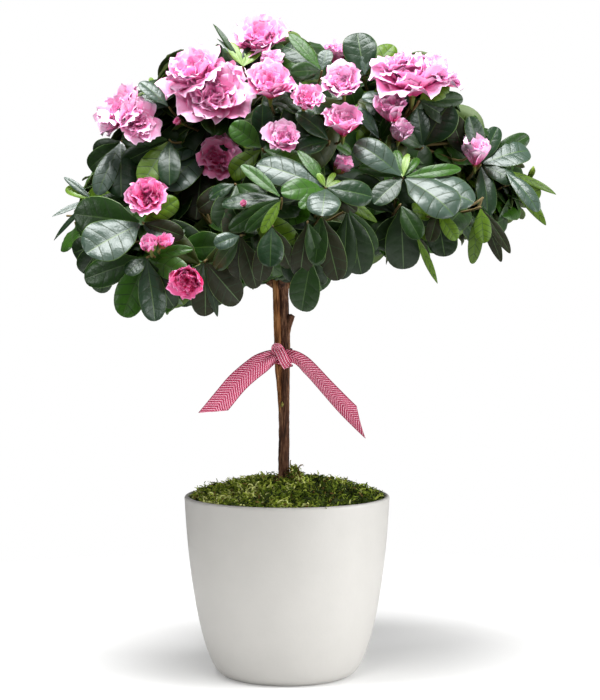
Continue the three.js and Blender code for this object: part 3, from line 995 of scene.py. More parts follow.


# Blooms on the side that shows: x, z and width in mm, how open from 0 to 1, the way it faces, and how deep
# its pink is: partly the bloom's own pink, partly painted light, lighter pinks on blooms that sit in shade.
# Here and below, x and z are measured in the plane through the stem.
BLOOMS = [
    (-73, 467, 48, 1.0, (-0.35, -0.55, 0.75), 0.0),
    (-57, 450, 50, 1.0, (0.1, -0.85, 0.45), 0.0),
    (-47, 462, 30, 0.9, (0.5, -0.65, 0.55), 0.2),
    (-128, 437, 38, 0.9, (-0.6, -0.65, 0.45), -0.2),
    (-116, 430, 30, 0.9, (0.0, -0.9, 0.3), 0.0),
    (-21, 493, 43, 0.8, (-0.1, -0.6, 0.8), 0.0),
    (97, 463, 54, 1.0, (0.0, -0.5, 0.87), -0.2),
    (119, 466, 36, 0.9, (0.5, -0.45, 0.75), -0.6),
    (85, 472, 34, 0.9, (-0.35, -0.4, 0.85), -0.6),
    (-13, 457, 34, 0.7, (0.0, -0.7, 0.7), 0.3),
    (-12, 474, 20, 0.35, (0.1, -0.5, 0.85), 0.0),
    (15, 446, 24, 0.45, (0.2, -0.8, 0.55), 0.3),
    (43, 458, 31, 0.65, (-0.1, -0.8, 0.6), -0.4),
    (38, 481, 22, 0.4, (0.1, -0.5, 0.85), 0.0),
    (44, 428, 30, 0.5, (0.05, -0.62, 0.78), 0.2),
    (81, 438, 28, 0.4, (-0.1, -0.6, 0.8), 0.0),
    (88, 421, 21, 0.2, (0.15, -0.75, 0.6), -0.9),
    (-3, 416, 27, 0.6, (0.0, -0.8, 0.6), -0.4),
    (43, 397, 21, 0.0, (0.55, -0.5, 0.7), -0.9),
    (-54, 402, 34, 0.6, (0.15, -0.95, 0.2), 0.9),
    (-108, 372, 31, 0.6, (-0.1, -0.95, 0.25), 1.3),
    (-107, 336, 20, 0.0, (-0.1, -0.7, 0.7), -0.2),
    (-95, 338, 16, 0.0, (0.45, -0.6, 0.65), 0.2),
    (-76, 309, 29, 0.45, (-0.25, -0.8, -0.45), 2.4),
    (146, 405, 27, 0.3, (0.0, -0.5, 0.9), -0.9),
    (-34, 367, 7, 0.0, (-0.2, -0.9, 0.3), 0.4),
    (-85, 430, 9, 0.0, (-0.5, -0.8, 0.2), 0.4),
]
# How a leaf that shows plainly looks: its green, the way it faces, how far in front of the skin it comes
# in mm, and how much it lies back, from 0 to 1. One that lies back reflects the light from above. The
# sheen looks' blue-grey green and the cool look's green add a painted sheen to that reflection.
LOOKS = {
    "sheen": (6, (0.0, -0.74, 0.67), 9, 0.8),
    "sheen_behind": (6, (0.0, -0.78, 0.62), 1, 0.6),
    "cool": (7, (0.0, -0.84, 0.52), 6, 0.4),
    "green": (2, (0.0, -0.9, 0.36), 5, 0.2),
    "deep": (1, (0.0, -1.0, 0.14), 1, 0.0),
    "dark": (0, (0.0, -1.0, 0.0), -1, 0.0),
    "olive": (4, (0.0, -1.0, 0.2), 0, 0.0),
    "brown": (8, (0.0, -1.0, 0.1), -2, 0.0),
    "young": (YOUNG_TOP, (0.0, -0.8, 0.6), 8, 0.3),
}
# The whorls that show plainly from the front: the whorl's x and z in mm, then its leaves: the direction in
# degrees (0 to the right, 90 up), the length and width as seen in mm, and the look.
WHORLS = [
    (-109, 325, [(218, 20, 13, "cool"), (199, 52, 24, "deep"), (247, 50, 26, "green"),
        (278, 50, 22, "cool"), (298, 47, 17, "dark"), (337, 34, 19, "green"), (13, 36, 9, "green")]),
    (-112, 352, [(173, 54, 33, "deep"), (208, 50, 35, "sheen"), (330, 20, 12, "sheen"),
        (34, 33, 18, "olive"), (342, 33, 16, "brown")]),
    (-151, 370, [(203, 34, 5, "sheen"), (225, 44, 5, "cool"), (154, 23, 9, "young"),
        (141, 28, 6, "sheen")]),
    (-140, 338, [(232, 34, 20, "dark"), (200, 30, 20, "dark"), (262, 42, 20, "deep")]),
    (-128, 415, [(220, 35, 17, "deep"), (244, 44, 17, "sheen"), (269, 42, 27, "cool"),
        (200, 24, 14, "dark")]),
    (-91, 416, [(238, 40, 21, "olive"), (178, 38, 14, "deep"), (206, 42, 17, "dark"),
        (270, 34, 18, "cool")]),
    (-64, 409, [(182, 36, 18, "sheen"), (225, 43, 29, "sheen"), (263, 55, 28, "brown"),
        (205, 30, 16, "dark")]),
    (-19, 409, [(142, 31, 18, "green"), (219, 35, 18, "olive"), (90, 34, 17, "cool"),
        (338, 48, 18, "green")]),
    (-4, 371, [(140, 41, 11, "green"), (211, 49, 15, "deep"), (186, 47, 13, "cool"),
        (222, 39, 11, "deep"), (240, 31, 9, "olive")]),
    (30, 379, [(160, 57, 24, "sheen"), (184, 34, 18, "green"), (216, 24, 12, "green"),
        (262, 20, 27, "sheen"), (349, 37, 20, "cool"), (327, 49, 10, "olive"), (322, 31, 12, "brown"),
        (126, 37, 9, "green"), (118, 13, 5, "young"), (60, 15, 5, "young"), (25, 13, 5, "young")]),
    (-40, 382, [(250, 36, 22, "dark"), (290, 30, 18, "deep"), (214, 36, 18, "brown"),
        (330, 28, 16, "deep"), (268, 46, 20, "brown"), (206, 24, 12, "cool")]),
    (90, 387, [(142, 47, 22, "sheen"), (165, 37, 11, "deep"), (221, 30, 18, "cool"),
        (327, 48, 30, "sheen"), (343, 58, 27, "sheen_behind"), (80, 20, 6, "young"),
        (104, 23, 8, "green"), (52, 21, 7, "green"), (128, 14, 6, "young"), (10, 46, 11, "green")]),
    (105, 410, [(60, 40, 29, "cool"), (98, 30, 16, "cool"), (150, 22, 12, "deep")]),
    (139, 402, [(111, 35, 19, "brown"), (80, 30, 16, "deep")]),
    (150, 397, [(165, 37, 12, "green"), (20, 40, 22, "sheen"), (31, 44, 15, "deep"),
        (103, 38, 16, "cool"), (66, 33, 14, "cool"), (280, 39, 16, "cool"), (334, 29, 14, "cool")]),
    (168, 393, [(336, 48, 7, "olive"), (308, 57, 11, "olive"), (311, 42, 13, "sheen"),
        (323, 37, 15, "olive")]),
    (150, 364, [(291, 46, 11, "brown"), (304, 46, 10, "brown"), (262, 46, 12, "olive"),
        (276, 28, 14, "olive")]),
    (117, 360, [(279, 35, 24, "dark"), (255, 24, 12, "brown"), (305, 26, 12, "olive")]),
    (99, 345, [(294, 46, 7, "olive"), (300, 24, 6, "brown")]),
    (88, 366, [(273, 53, 28, "dark"), (256, 51, 5, "brown"), (300, 30, 16, "deep")]),
    (47, 363, [(282, 53, 27, "dark"), (303, 40, 15, "deep"), (266, 57, 20, "dark")]),
    (27, 358, [(284, 53, 22, "brown"), (262, 38, 16, "deep")]),
    (16, 353, [(262, 48, 19, "brown"), (285, 36, 15, "deep")]),
    (19, 325, [(259, 43, 25, "deep"), (288, 26, 14, "dark")]),
    (-12, 350, [(268, 32, 21, "cool"), (258, 46, 17, "brown"), (294, 38, 15, "brown")]),
    (-36, 342, [(269, 34, 20, "brown"), (198, 21, 13, "sheen"), (287, 44, 18, "brown"),
        (232, 34, 14, "deep")]),
    (-64, 322, [(311, 42, 25, "brown"), (271, 43, 23, "brown"), (283, 46, 9, "dark"),
        (240, 30, 17, "dark")]),
    (27, 469, [(144, 37, 20, "cool"), (131, 38, 11, "green"), (182, 24, 14, "deep"),
        (76, 17, 12, "sheen")]),
    (60, 465, [(100, 34, 27, "cool"), (86, 23, 12, "sheen"), (47, 33, 18, "olive"),
        (150, 22, 12, "deep")]),
    (102, 446, [(175, 44, 15, "sheen"), (35, 27, 20, "olive"), (3, 35, 13, "deep"),
        (330, 30, 16, "dark")]),
    (72, 416, [(125, 31, 10, "sheen"), (60, 24, 12, "deep")]),
    (-34, 472, [(118, 22, 9, "young"), (50, 19, 10, "young"), (95, 15, 7, "young"), (124, 43, 5, "deep"),
        (130, 31, 4, "cool"), (66, 17, 10, "cool")]),
    (-91, 441, [(138, 30, 12, "sheen"), (159, 24, 12, "sheen"), (190, 24, 12, "dark")]),
    (33, 415, [(137, 34, 15, "cool"), (194, 26, 15, "cool"), (333, 20, 9, "green")]),
]
WHORL_INSET = 8.0
SHOOT_SPACING = 42.0
SKIN_SAMPLES = 9000
CLEAR_AHEAD = 40
BACK_BLOOMS = 24
BEHIND = 34.0


def new_shoot(at, normal, mass, axis, **other):
    """A shoot: its place on the skin, the skin's direction there, its mass and the way it points.

    lead is for the listed ones, and hangs for those under the crown.
    """
    shoot = dict(at=at, normal=normal, mass=mass, axis=unit(np.array(axis, float)))
    return dict(shoot, bloom=None, whorl=None, hangs=False, lead=False) | other


def placed_shoots():
    """The shoots with the listed blooms and whorls."""
    shoots = [new_shoot(*seen_at(x, z), facing, bloom=(size, openness, depth), lead=True)
              for x, z, size, openness, facing, depth in BLOOMS]
    for x, z, leaves in WHORLS:
        axis = (0.3 * (x - CROWN_MIDDLE[0]) / 150, -0.85, np.clip((z - 345) / 120, -0.15, 0.5))
        shoots.append(new_shoot(*seen_at(x, z), axis, whorl=(x, z, leaves), lead=True))
    return shoots


def is_behind(shoot):
    """Whether a shoot is on the crown's back, where its bloom doesn't show from the front."""
    x, y, z = shoot["at"]
    faces_back = shoot["normal"][1] > 0.3 and shoot["normal"][2] > -0.15
    return y > 40 and z < 460 and abs(x - 5) < 115 and faces_back


def lay_out_shoots(rng):
    """Every shoot: the listed ones, seeded ones between them, and blooms on some at the back."""
    shoots = placed_shoots()
    for at, normal, mass in spread_points(rng, [s["at"] for s in shoots], SHOOT_SPACING):
        hangs = normal[2] < -0.25
        outward = unit(np.array([at[0] - CROWN_MIDDLE[0], at[1] - CROWN_MIDDLE[1], 0.0]))
        axis = outward + 0.35 * normal if hangs else normal + 0.3 * UP
        shoots.append(new_shoot(at, normal, mass, unit(axis) + rng.normal(0, 0.16, 3), hangs=hangs))
    behind = [shoot for shoot in shoots if is_behind(shoot)]
    for pick in rng.permutation(len(behind))[:BACK_BLOOMS]:
        openness = float(rng.choice([0.0, 0.3, 0.5, 0.75, 1.0], p=[0.1, 0.15, 0.25, 0.28, 0.22]))
        size = 14 + 44 * openness * rng.uniform(0.75, 1.1)
        behind[pick]["bloom"] = (size, openness, float(rng.normal(0, 0.6)))
    back_up(shoots)
    place_tips(rng, shoots)
    return shoots


def back_up(shoots):
    """Adds shoots a little way behind the front ones, which fill the crown as it is seen from above."""
    placed = []
    for shoot in list(shoots):
        at = shoot["at"] + [0.0, BEHIND, 0.0]
        crowded = any(np.linalg.norm(at - other) < BEHIND for other in placed)
        if shoot["at"][1] > -20 or crowded:
            continue
        placed.append(at)
        shoots.append(new_shoot(at, shoot["normal"], shoot["mass"], (0.0, -0.35, 0.9)))


def place_tips(rng, shoots):
    """How far inside the skin each shoot ends, so that its leaves or its bloom just reach the outline."""
    for shoot in shoots:
        if shoot["whorl"] is not None:
            x, z, _ = shoot["whorl"]
            shoot["tip"] = on_sight(x, z, shoot["at"][1] + WHORL_INSET)
        elif shoot["bloom"] is None:
            inside = rng.uniform(18, 25) if shoot["hangs"] else rng.uniform(9, 16)
            shoot["tip"] = shoot["at"] - shoot["normal"] * inside
            x, _, z = shoot["tip"]
            above_hem = rng.uniform(26, 40) if shoot["hangs"] else rng.uniform(16, 30)
            shoot["tip"][2] = np.clip(z, hem_at(x) + above_hem, brow_at(x) - rng.uniform(8, 14))
        else:
            size, openness, _ = shoot["bloom"]
            shoot["tip"] = shoot["at"] - shoot["axis"] * size * (0.34 - 0.1 * openness)
        shoot["vigour"] = rng.uniform(0.9, 1.1)


# ---- Growing leaves on the shoots ------------------------------------------------------------------

LEAF_FIELDS = ("root", "heading", "facing", "side", "length", "width", "droop", "tip_curl", "fold",
               "recurve", "wave", "phase", "twist", "shade")
GOLDEN_ANGLE = 2.39996
# Tiers of a whorl: how many leaves, their angle from the shoot in degrees, their length in mm and how far
# below the tip they leave it.
DEEP_TIER = (4, (70, 110), (36, 46), (28, 58))
LOW_TIER = (4, (86, 116), (40, 51), (10, 24))
MAIN_TIER = (5, (66, 96), (43, 54), (1, 7))
INNER_TIER = (3, (42, 66), (26, 38), (0, 3))
YOUNG_TIER = (4, (12, 44), (11, 22), (-1, 1))
OUTER_TIER = (4, (62, 100), (40, 50), (8, 24))
HANGING_TIER = (4, (30, 74), (40, 51), (0, 7))
# How often each of the first greens is dealt.
SHADES = [0.24, 0.24, 0.18, 0.16, 0.08, 0.10]


def tiers_of(rng, shoot):
    if shoot["whorl"] is not None:
        return [DEEP_TIER]
    if shoot["hangs"]:
        return [DEEP_TIER, OUTER_TIER, HANGING_TIER]
    if shoot["bloom"] is not None:
        return [DEEP_TIER, LOW_TIER, MAIN_TIER]
    tiers = [DEEP_TIER, LOW_TIER, MAIN_TIER, INNER_TIER]
    if shoot["lead"] or rng.random() < 0.3:
        tiers.append(YOUNG_TIER)
    return tiers


def down_the_twig(shoot, distance):
    """The point on the shoot's twig a distance below its tip, and the way the twig runs there."""
    line = shoot["line"][::-1]
    reached = along_line(line)
    distance = float(np.clip(distance, -2, reached[-1] - 4))
    at = at_distance(distance, reached, line)
    below = at_distance(distance + 4, reached, line)
    if distance < 0:
        at = at - shoot["axis"] * distance
    return at, unit(at - below)


def seeded_direction(rng, shoot, turn, angles, below, young):
    """Where a leaf leaves its twig, the way it grows and the way its top faces."""
    tip = shoot["tip"]
    low = float(np.clip((352 - tip[2]) / 60, 0, 1))
    outward = unit(np.array([tip[0] - CROWN_MIDDLE[0], tip[1] - CROWN_MIDDLE[1], 60.0]))
    root, axis = down_the_twig(shoot, rng.uniform(*below))
    around = turned_round(axis, (0.31, 0.2, 0.93), np.array([turn]))[0]
    tilt = math.radians(rng.uniform(*angles))
    heading = math.cos(tilt) * axis + math.sin(tilt) * around
    facing = math.sin(tilt) * axis - math.cos(tilt) * around
    if not young:
        sag = rng.uniform(0.6, 1.9) if shoot["hangs"] else rng.uniform(0.0, 0.35) + 0.7 * low
        heading = unit(heading - sag * UP)
        facing = facing + (0.9 if shoot["hangs"] else 0.4) * outward
    heading = unit(heading + rng.normal(0, 0.08, 3))
    return root, heading, upright_to(facing + rng.normal(0, 0.2, 3), heading)


def shoot_leaves(rng, shoot):
    """The leaves round one shoot, each turned from the last by the golden angle."""
    shoot_shade = rng.choice(len(SHADES), p=SHADES)
    turn = rng.uniform(0, 2 * math.pi)
    rows = []
    for tier in tiers_of(rng, shoot):
        count, angles, lengths, below = tier
        young = tier is YOUNG_TIER
        for _ in range(count):
            turn += GOLDEN_ANGLE
            root, heading, facing = seeded_direction(rng, shoot, turn, angles, below, young)
            slim = rng.uniform(0.48, 0.6)
            if shoot["hangs"]:
                slim = rng.uniform(0.42, 0.56)
            if young:
                slim = rng.uniform(0.28, 0.4)
            length = rng.uniform(*lengths) * shoot["vigour"]
            shade = int(shoot_shade if rng.random() < 0.45 else rng.choice(len(SHADES), p=SHADES))
            if young:
                shade = YOUNG_TOP + int(rng.integers(len(YOUNG_TOPS)))
            rows.append(dict(
                root=root, heading=heading, facing=facing, side=np.cross(heading, facing),
                length=length, width=length * slim,
                droop=rng.uniform(-0.3, 0.3) if young else rng.uniform(0.1, 0.8),
                tip_curl=rng.uniform(0.0, 0.4), fold=rng.uniform(0.04, 0.34),
                recurve=rng.uniform(0.05, 0.25), wave=rng.uniform(0.0, 0.16), phase=rng.uniform(0, 6.3),
                twist=rng.normal(0, 0.28), shade=shade, slack=min(rng.exponential(3.5), 8)))
    return rows


def shown_leaf(rng, shoot, row, back):
    """A leaf of a whorl that shows plainly, set back by so many mm."""
    x, z, _ = shoot["whorl"]
    angle, length, width, look = row
    shade, facing, in_front, lies_back = LOOKS[look]
    turn = math.radians(angle)
    tip_x, tip_z = x + length * math.cos(turn), z + length * math.sin(turn)
    depth = shoot["tip"][1]
    root = on_sight(x + 0.05 * (tip_x - x), z + 0.05 * (tip_z - z), depth - 0.35 * in_front + back)
    on_skin = float(np.clip(seen_at(tip_x, tip_z)[0][1], depth - 16, depth + 16))
    laid_back = depth + float(np.clip(tip_z - z, -22, 12))
    tip = on_sight(tip_x, tip_z, on_skin + lies_back * (laid_back - on_skin) - in_front + back)
    chord = unit(tip - root)
    facing = upright_to(np.array(facing) + rng.normal(0, 0.08, 3), chord)
    droop = rng.uniform(0.1, 0.5)
    heading = unit(chord + facing * droop / 2)
    facing = upright_to(facing, heading)
    side = np.cross(heading, facing)
    seen_share = max(0.6, float(np.hypot(side[0], side[2])))
    nearer = 1 + depth / -CAMERA_AT[1]
    return dict(
        root=root, heading=heading, facing=facing, side=side, length=float(np.linalg.norm(tip - root)),
        width=width * nearer / seen_share, droop=droop, tip_curl=rng.uniform(0.0, 0.25),
        fold=rng.uniform(0.02, 0.16), recurve=rng.uniform(0.05, 0.2), wave=rng.uniform(0.0, 0.1),
        phase=rng.uniform(0, 6.3), twist=rng.normal(0, 0.1), shade=shade, slack=0.0)


def shown_leaves(rng, shoots):
    """Every leaf of the whorls that show plainly, each set back where it would hide a bloom."""
    made = []
    for shoot in shoots:
        if shoot["whorl"] is None:
            continue
        for row in shoot["whorl"][2]:
            for back in (0, 10, 20):
                leaf = shown_leaf(rng, shoot, row, back)
                if not hides_bloom(leaf, shoots):
                    break
            made.append((shoot["mass"], leaf))
    return made


def along_leaf(leaf, shares):
    """Points at the given shares of the way from a leaf's root to its tip."""
    tip = leaf_tip(leaf)
    return leaf["root"] + np.array(shares)[:, None] * (tip - leaf["root"])


def hides_shown(leaf, shown_points, shown_widths):
    """Whether a leaf would stand between the camera and one that shows plainly."""
    sight = unit(CAMERA_AT - shown_points)
    for point in along_leaf(leaf, (0.3, 0.65, 0.97)):
        gap = point - shown_points
        ahead = (gap * sight).sum(1)
        aside = np.linalg.norm(gap - ahead[:, None] * sight, axis=1)
        if ((ahead > -1.5) & (aside < 0.4 * shown_widths + 0.3 * leaf["width"])).any():
            return True
    return False


def outside_by(point):
    """How far a point is outside the crown's skin, in mm, or below zero inside it."""
    near, normal, _, distance = SKIN.find_nearest(Vector(point))
    return distance if (Vector(point) - near).dot(normal) > 0 else -distance


# How far outside the skin a seeded leaf's tip may stand, and how far left and right.
LEAF_ROOM = 8.0
HANGING_ROOM = 10.0
LEFT_REACH = -158.0
RIGHT_REACH = 186.0
# The lowest a seeded leaf's tip comes, as x and height: the crown hangs lowest on the left.
HEM = np.array([(-170, 332), (-140, 312), (-118, 298), (-60, 294), (-38, 300), (-22, 310), (-5, 312),
                (10, 308), (28, 310), (42, 320), (60, 326), (105, 338), (150, 350), (195, 362)], float)
# And the highest: the crown's top is left of the middle.
BROW = np.array([(-160, 405), (-140, 434), (-108, 452), (-90, 478), (-50, 490), (-30, 500), (0, 494),
                 (70, 488), (108, 478), (126, 448), (140, 430), (180, 400), (200, 380)], float)


def hem_at(x):
    return float(np.interp(x, HEM[:, 0], HEM[:, 1]))


def brow_at(x):
    return float(np.interp(x, BROW[:, 0], BROW[:, 1]))


def leaf_tip(leaf):
    """About where a leaf's tip comes to, with its droop."""
    return leaf["root"] + leaf["length"] * (leaf["heading"] * 0.95 - leaf["facing"] * leaf["droop"] * 0.45)


def settle(rows):
    """Lifts or lowers leaves that pass the crown's edges and shortens those that stand too far out."""
    kept = []
    for leaf in rows:
        room = HANGING_ROOM if leaf["heading"][2] < -0.7 else LEAF_ROOM
        slack = leaf["slack"]
        for _ in range(5):
            tip = leaf_tip(leaf)
            too_low = tip[2] < hem_at(tip[0]) - slack
            too_high = tip[2] > brow_at(tip[0]) + slack
            too_wide = not LEFT_REACH - slack < tip[0] < RIGHT_REACH + slack
            too_far = too_wide or outside_by(tip) > room
            if not too_low and not too_high and not too_far:
                kept.append(leaf)
                break
            if too_low or too_high:
                leaf["heading"] = unit(leaf["heading"] + (0.3 if too_low else -0.3) * UP)
                leaf["facing"] = upright_to(leaf["facing"], leaf["heading"])
                leaf["side"] = np.cross(leaf["heading"], leaf["facing"])
            if too_far:
                leaf["length"] *= 0.87
                leaf["width"] *= 0.92
    return kept


def hides_bloom(leaf, shoots):
    """Whether a leaf would stand between the camera and one of the listed blooms."""
    middle = leaf["root"] * 0.45 + leaf_tip(leaf) * 0.55
    for shoot in shoots:
        if shoot["bloom"] is None or not shoot["lead"]:
            continue
        size = shoot["bloom"][0]
        centre = shoot["tip"] + shoot["axis"] * size * 0.3
        sight = unit(CAMERA_AT - centre)
        for point in (middle, leaf_tip(leaf), leaf["root"]):
            ahead = float(np.dot(point - centre, sight))
            aside = np.linalg.norm(point - centre - ahead * sight)
            if ahead > -0.1 * size and aside < 0.5 * size + (4 if point is middle else -1):
                return True
    return False


def make_leaves(rng, shoots):
    """One piece for each mass: its seeded leaves, without those that hide others, and its shown ones."""
    greens = leaf_materials()
    shown = shown_leaves(rng, shoots)
    shares = (0.25, 0.5, 0.75, 1.0)
    shown_points = np.concatenate([along_leaf(leaf, shares) for _, leaf in shown])
    shown_widths = np.repeat([leaf["width"] for _, leaf in shown], len(shares))
    for index, name in enumerate(MASS_NAMES):
        grown = [leaf for s in shoots if s["mass"] == index for leaf in settle(shoot_leaves(rng, s))]
        rows = [leaf for leaf in grown if not hides_bloom(leaf, shoots)
                and not hides_shown(leaf, shown_points, shown_widths)]
        rows += [leaf for mass, leaf in shown if mass == index]
        leaves = {key: np.array([row[key] for row in rows]) for key in LEAF_FIELDS}
        shape = Shape()
        shape.add_copies(leaf_points(leaves), LEAF[3], leaf_kinds(leaves))
        shape.piece("leaves_" + name, greens, ["foliage_" + name])


# ---- Twigs -----------------------------------------------------------------------------------------

TWIG_STEPS = 9
FORK_AT = 0.46


def clusters(points, count):
    """Splits points into count groups round seeds that start as far apart as they can be."""
    seeds = [points[0]]
    for _ in range(count - 1):
        gaps = np.min([np.linalg.norm(points - seed, axis=1) for seed in seeds], axis=0)
        seeds.append(points[int(gaps.argmax())])
    seeds = np.array(seeds)
    for _ in range(4):
        group = np.linalg.norm(points[:, None] - seeds[None], axis=2).argmin(1)
        own = [points[group == g] for g in range(count)]
        seeds = np.array([near.mean(0) if len(near) else seed for near, seed in zip(own, seeds)])
    return group, seeds


def grow_twigs(shoots):
    """From each bough's end two or more branches, and from those a twig to every shoot's tip."""
    branches, twigs = [], []
    for index, name in enumerate(MASS_NAMES):
        own = [s for s in shoots if s["mass"] == index]
        tips = np.array([s["tip"] for s in own])
        if name == "top":
            start, heading = STEM_TIP, unit(STEM_TIP - STEM_FORK)
        else:
            start, heading = BOUGHS[name][3], unit(BOUGHS[name][3] - BOUGHS[name][2])
        group, seeds = clusters(tips, max(2, len(own) // 4))
        for g, seed in enumerate(seeds):
            fork = start + FORK_AT * (seed - start)
            leaving = unit(heading + unit(fork - start))
            reach = np.linalg.norm(fork - start)
            if (group == g).any():
                branches.append((start - heading * 2, start + leaving * reach * 0.35,
                                 fork - unit(seed - start + 20 * UP) * reach * 0.3, fork))
            for shoot in (s for s, own_group in zip(own, group) if own_group == g):
                tip = shoot["tip"]
                away = np.linalg.norm(tip - fork)
                leaving_fork = unit(tip - fork + unit(fork - start) * 20)
                twig = (fork, fork + leaving_fork * away * 0.35, tip - shoot["axis"] * away * 0.35, tip)
                twigs.append(twig)
                shoot["line"] = bezier(*twig, TWIG_STEPS)[0]
    return [np.array(list(zip(*rows))) for rows in (branches, twigs)]


def make_twigs(branches, twigs):
    shape = Shape()
    for kind, (limbs, radii, sides) in enumerate(((branches, (1.9, 1.35), 7), (twigs, (1.25, 0.8), 6))):
        taper = np.tile(np.linspace(*radii, TWIG_STEPS), (len(limbs[0]), 1))
        tubes(shape, bezier(*limbs, TWIG_STEPS), taper, sides, kind)
    materials = [bark("twig_bark", (58, 38, 26), (92, 64, 44), (124, 98, 72)),
                 plain("shoot_green_brown", linear(104, 88, 48), 0.7)]
    shape.piece("twigs", materials)


# ---- Blooms ----------------------------------------------------------------------------------------

PETAL_ROWS = np.array([0.0, 0.2, 0.4, 0.58, 0.74, 0.87, 0.955, 1.0])
PETAL_COLUMNS = np.linspace(-1, 1, 11)
# Rings of petals from the outside in: how many, length, width, the angle in degrees from the bloom's axis
# at the foot and at the rim when fully open, the ruffle, and a shift towards the deeper pinks: a painted
# shade, deeper pinks on the inner rings where the bloom is hollow.
RINGS = [
    (6, 1.06, 1.06, 40, 98, 0.24, 0.0),
    (7, 0.98, 0.94, 30, 74, 0.28, 0.1),
    (7, 0.87, 0.84, 20, 50, 0.34, 0.25),
    (7, 0.76, 0.74, 11, 32, 0.40, 0.4),
    (6, 0.62, 0.62, 4, 16, 0.44, 0.5),
]
HEART_RING = (5, 0.5, 0.56, -4, -26, 0.3, 0.6)
BUD_RINGS = [(5, 0.95, 0.95, 30, 4, 0.05, 0.5), (4, 0.82, 0.85, 20, 0, 0.05, 0.3)]
# Any direction off the bloom's axis, for the petals and scales to be turned round it from.
PETAL_ACROSS = (0.2, 0.9, 0.4)


def petal_middles(rng, ring, size, openness):
    """Each petal's middle line, as its lean from the bloom's axis, how far out and how far up it is at each
    row, and its length and width. The petal leans out more and more, in short steps up.
    """
    count, length, width, low, high = ring[:5]
    low = np.radians(low * (0.25 + 0.75 * openness) + rng.normal(0, 4, count))[:, None]
    high = high * (0.12 + 0.88 * openness) + rng.normal(0, 14 * openness + 1, count)
    high = np.radians(high)[:, None]
    length = (length * size * 0.5 * rng.uniform(0.76, 1.1, count))[:, None]
    width = (width * size * 0.5 * rng.uniform(0.92, 1.12, count))[:, None]
    lean = low + (high - low) * PETAL_ROWS[None] ** 1.6
    middle = (lean[:, 1:] + lean[:, :-1]) / 2
    steps = np.diff(PETAL_ROWS)
    start = np.zeros((count, 1))
    out = np.concatenate([start, np.cumsum(np.sin(middle) * steps, 1)], 1) * length
    up = np.concatenate([start, np.cumsum(np.cos(middle) * steps, 1)], 1) * length
    lean, out, up = (np.repeat(a, len(PETAL_COLUMNS), 1) for a in (lean, out, up))
    return lean, out, up, length, width


def petal_ring(rng, shape, foot, axis, size, ring, openness, depth):
    """One ring of petals round a bloom's axis."""
    count, ruffle, shift = ring[0], ring[5], ring[6]
    t, v = (a.ravel()[None] for a in np.meshgrid(PETAL_ROWS, PETAL_COLUMNS, indexing="ij"))
    turn = rng.uniform(0, 6.3) + 2 * math.pi * (np.arange(count) + rng.normal(0, 0.34, count)) / count
    outward = turned_round(axis, PETAL_ACROSS, turn)
    side = np.cross(axis, outward)
    lean, out, up, length, width = petal_middles(rng, ring, size, openness)

    half = width / 2 * (0.24 + 0.76 * np.sin(np.clip(t * 1.3, 0, 1) * math.pi / 2)) * (1 - 0.12 * t**8)
    phase = rng.uniform(0, 6.3, (count, 4))
    frill = np.sin(3.3 * v + phase[:, :1]) * 0.65 + np.sin(6.2 * v + phase[:, 1:2] + 2 * t) * 0.35
    frill = frill + 0.3 * np.sin(11 * v + phase[:, 3:]) * t**5
    lift = width * 0.5 * ruffle * frill * t**1.7 + half * (0.42 - 0.2 * openness) * v**2
    scallop = 0.05 * np.sin(5.5 * v + phase[:, 2:3]) + 0.035 * np.sin(10.5 * v + phase[:, 3:])
    backset = length * (0.2 * np.abs(v) ** 2.6 + scallop) * t**3
    radial = 0.035 * size + out - backset * np.sin(lean) - lift * np.cos(lean)
    height = up - backset * np.cos(lean) + lift * np.sin(lean)
    points = foot + radial[..., None] * outward[:, None] + height[..., None] * axis
    points = points + (v * half)[..., None] * side[:, None]

    quads = grid_faces(len(PETAL_ROWS), len(PETAL_COLUMNS))
    along = t[0][quads].mean(1)[None]
    from_middle = np.abs(v[0][quads].mean(1))[None]
    rim = (along > 0.95) * 1.2 + (from_middle > 0.8) * 0.5 * (along > 0.5)
    # The pinks deepen towards the claw and pale at the rim, the petal's own; the ring's shift is painted
    # shade deep in the bloom, and a negative depth is painted light, lighter pinks on blooms in shade.
    tone = 6.0 * along**0.75 + rim - 1.5 * shift - 1.3 * depth + rng.normal(0, 0.35, (count, 1))
    shade = np.clip(np.round(tone + rng.normal(0, 0.15, (count, quads.shape[0]))), 0, len(PETALS) - 1)
    shape.add_copies(points, quads, shade.astype(int))


SCALES = 6
# A bud scale's rows up from its foot: how far up, how far out and half its width, as shares of its size.
SCALE_ROWS = [(0.0, 0.10, 0.20), (0.35, 0.42, 0.34), (0.7, 0.50, 0.22), (1.0, 0.44, 0.02)]


def bud_scales(rng, shape, foot, axis, size):
    """The rusty scales and green sepals that clasp a bloom's foot."""
    turn = 2 * math.pi * np.arange(SCALES) / SCALES + rng.uniform(0, 6.3)
    outward = turned_round(axis, PETAL_ACROSS, turn)
    side = np.cross(axis, outward)
    length = size * rng.uniform(0.8, 1.2, SCALES)[:, None]
    points = []
    for up, out, half in SCALE_ROWS:
        for v in (-1, 0, 1):
            keel = 0.1 * (v == 0)
            points.append(foot + outward * size * (out + keel) + axis * length * up + side * v * half * size)
    quads = grid_faces(len(SCALE_ROWS), 3)
    kind = SEPAL + (rng.random(SCALES) < 0.45).astype(int)
    shape.add_copies(np.stack(points, 1), quads, np.repeat(kind[:, None], len(quads), 1))


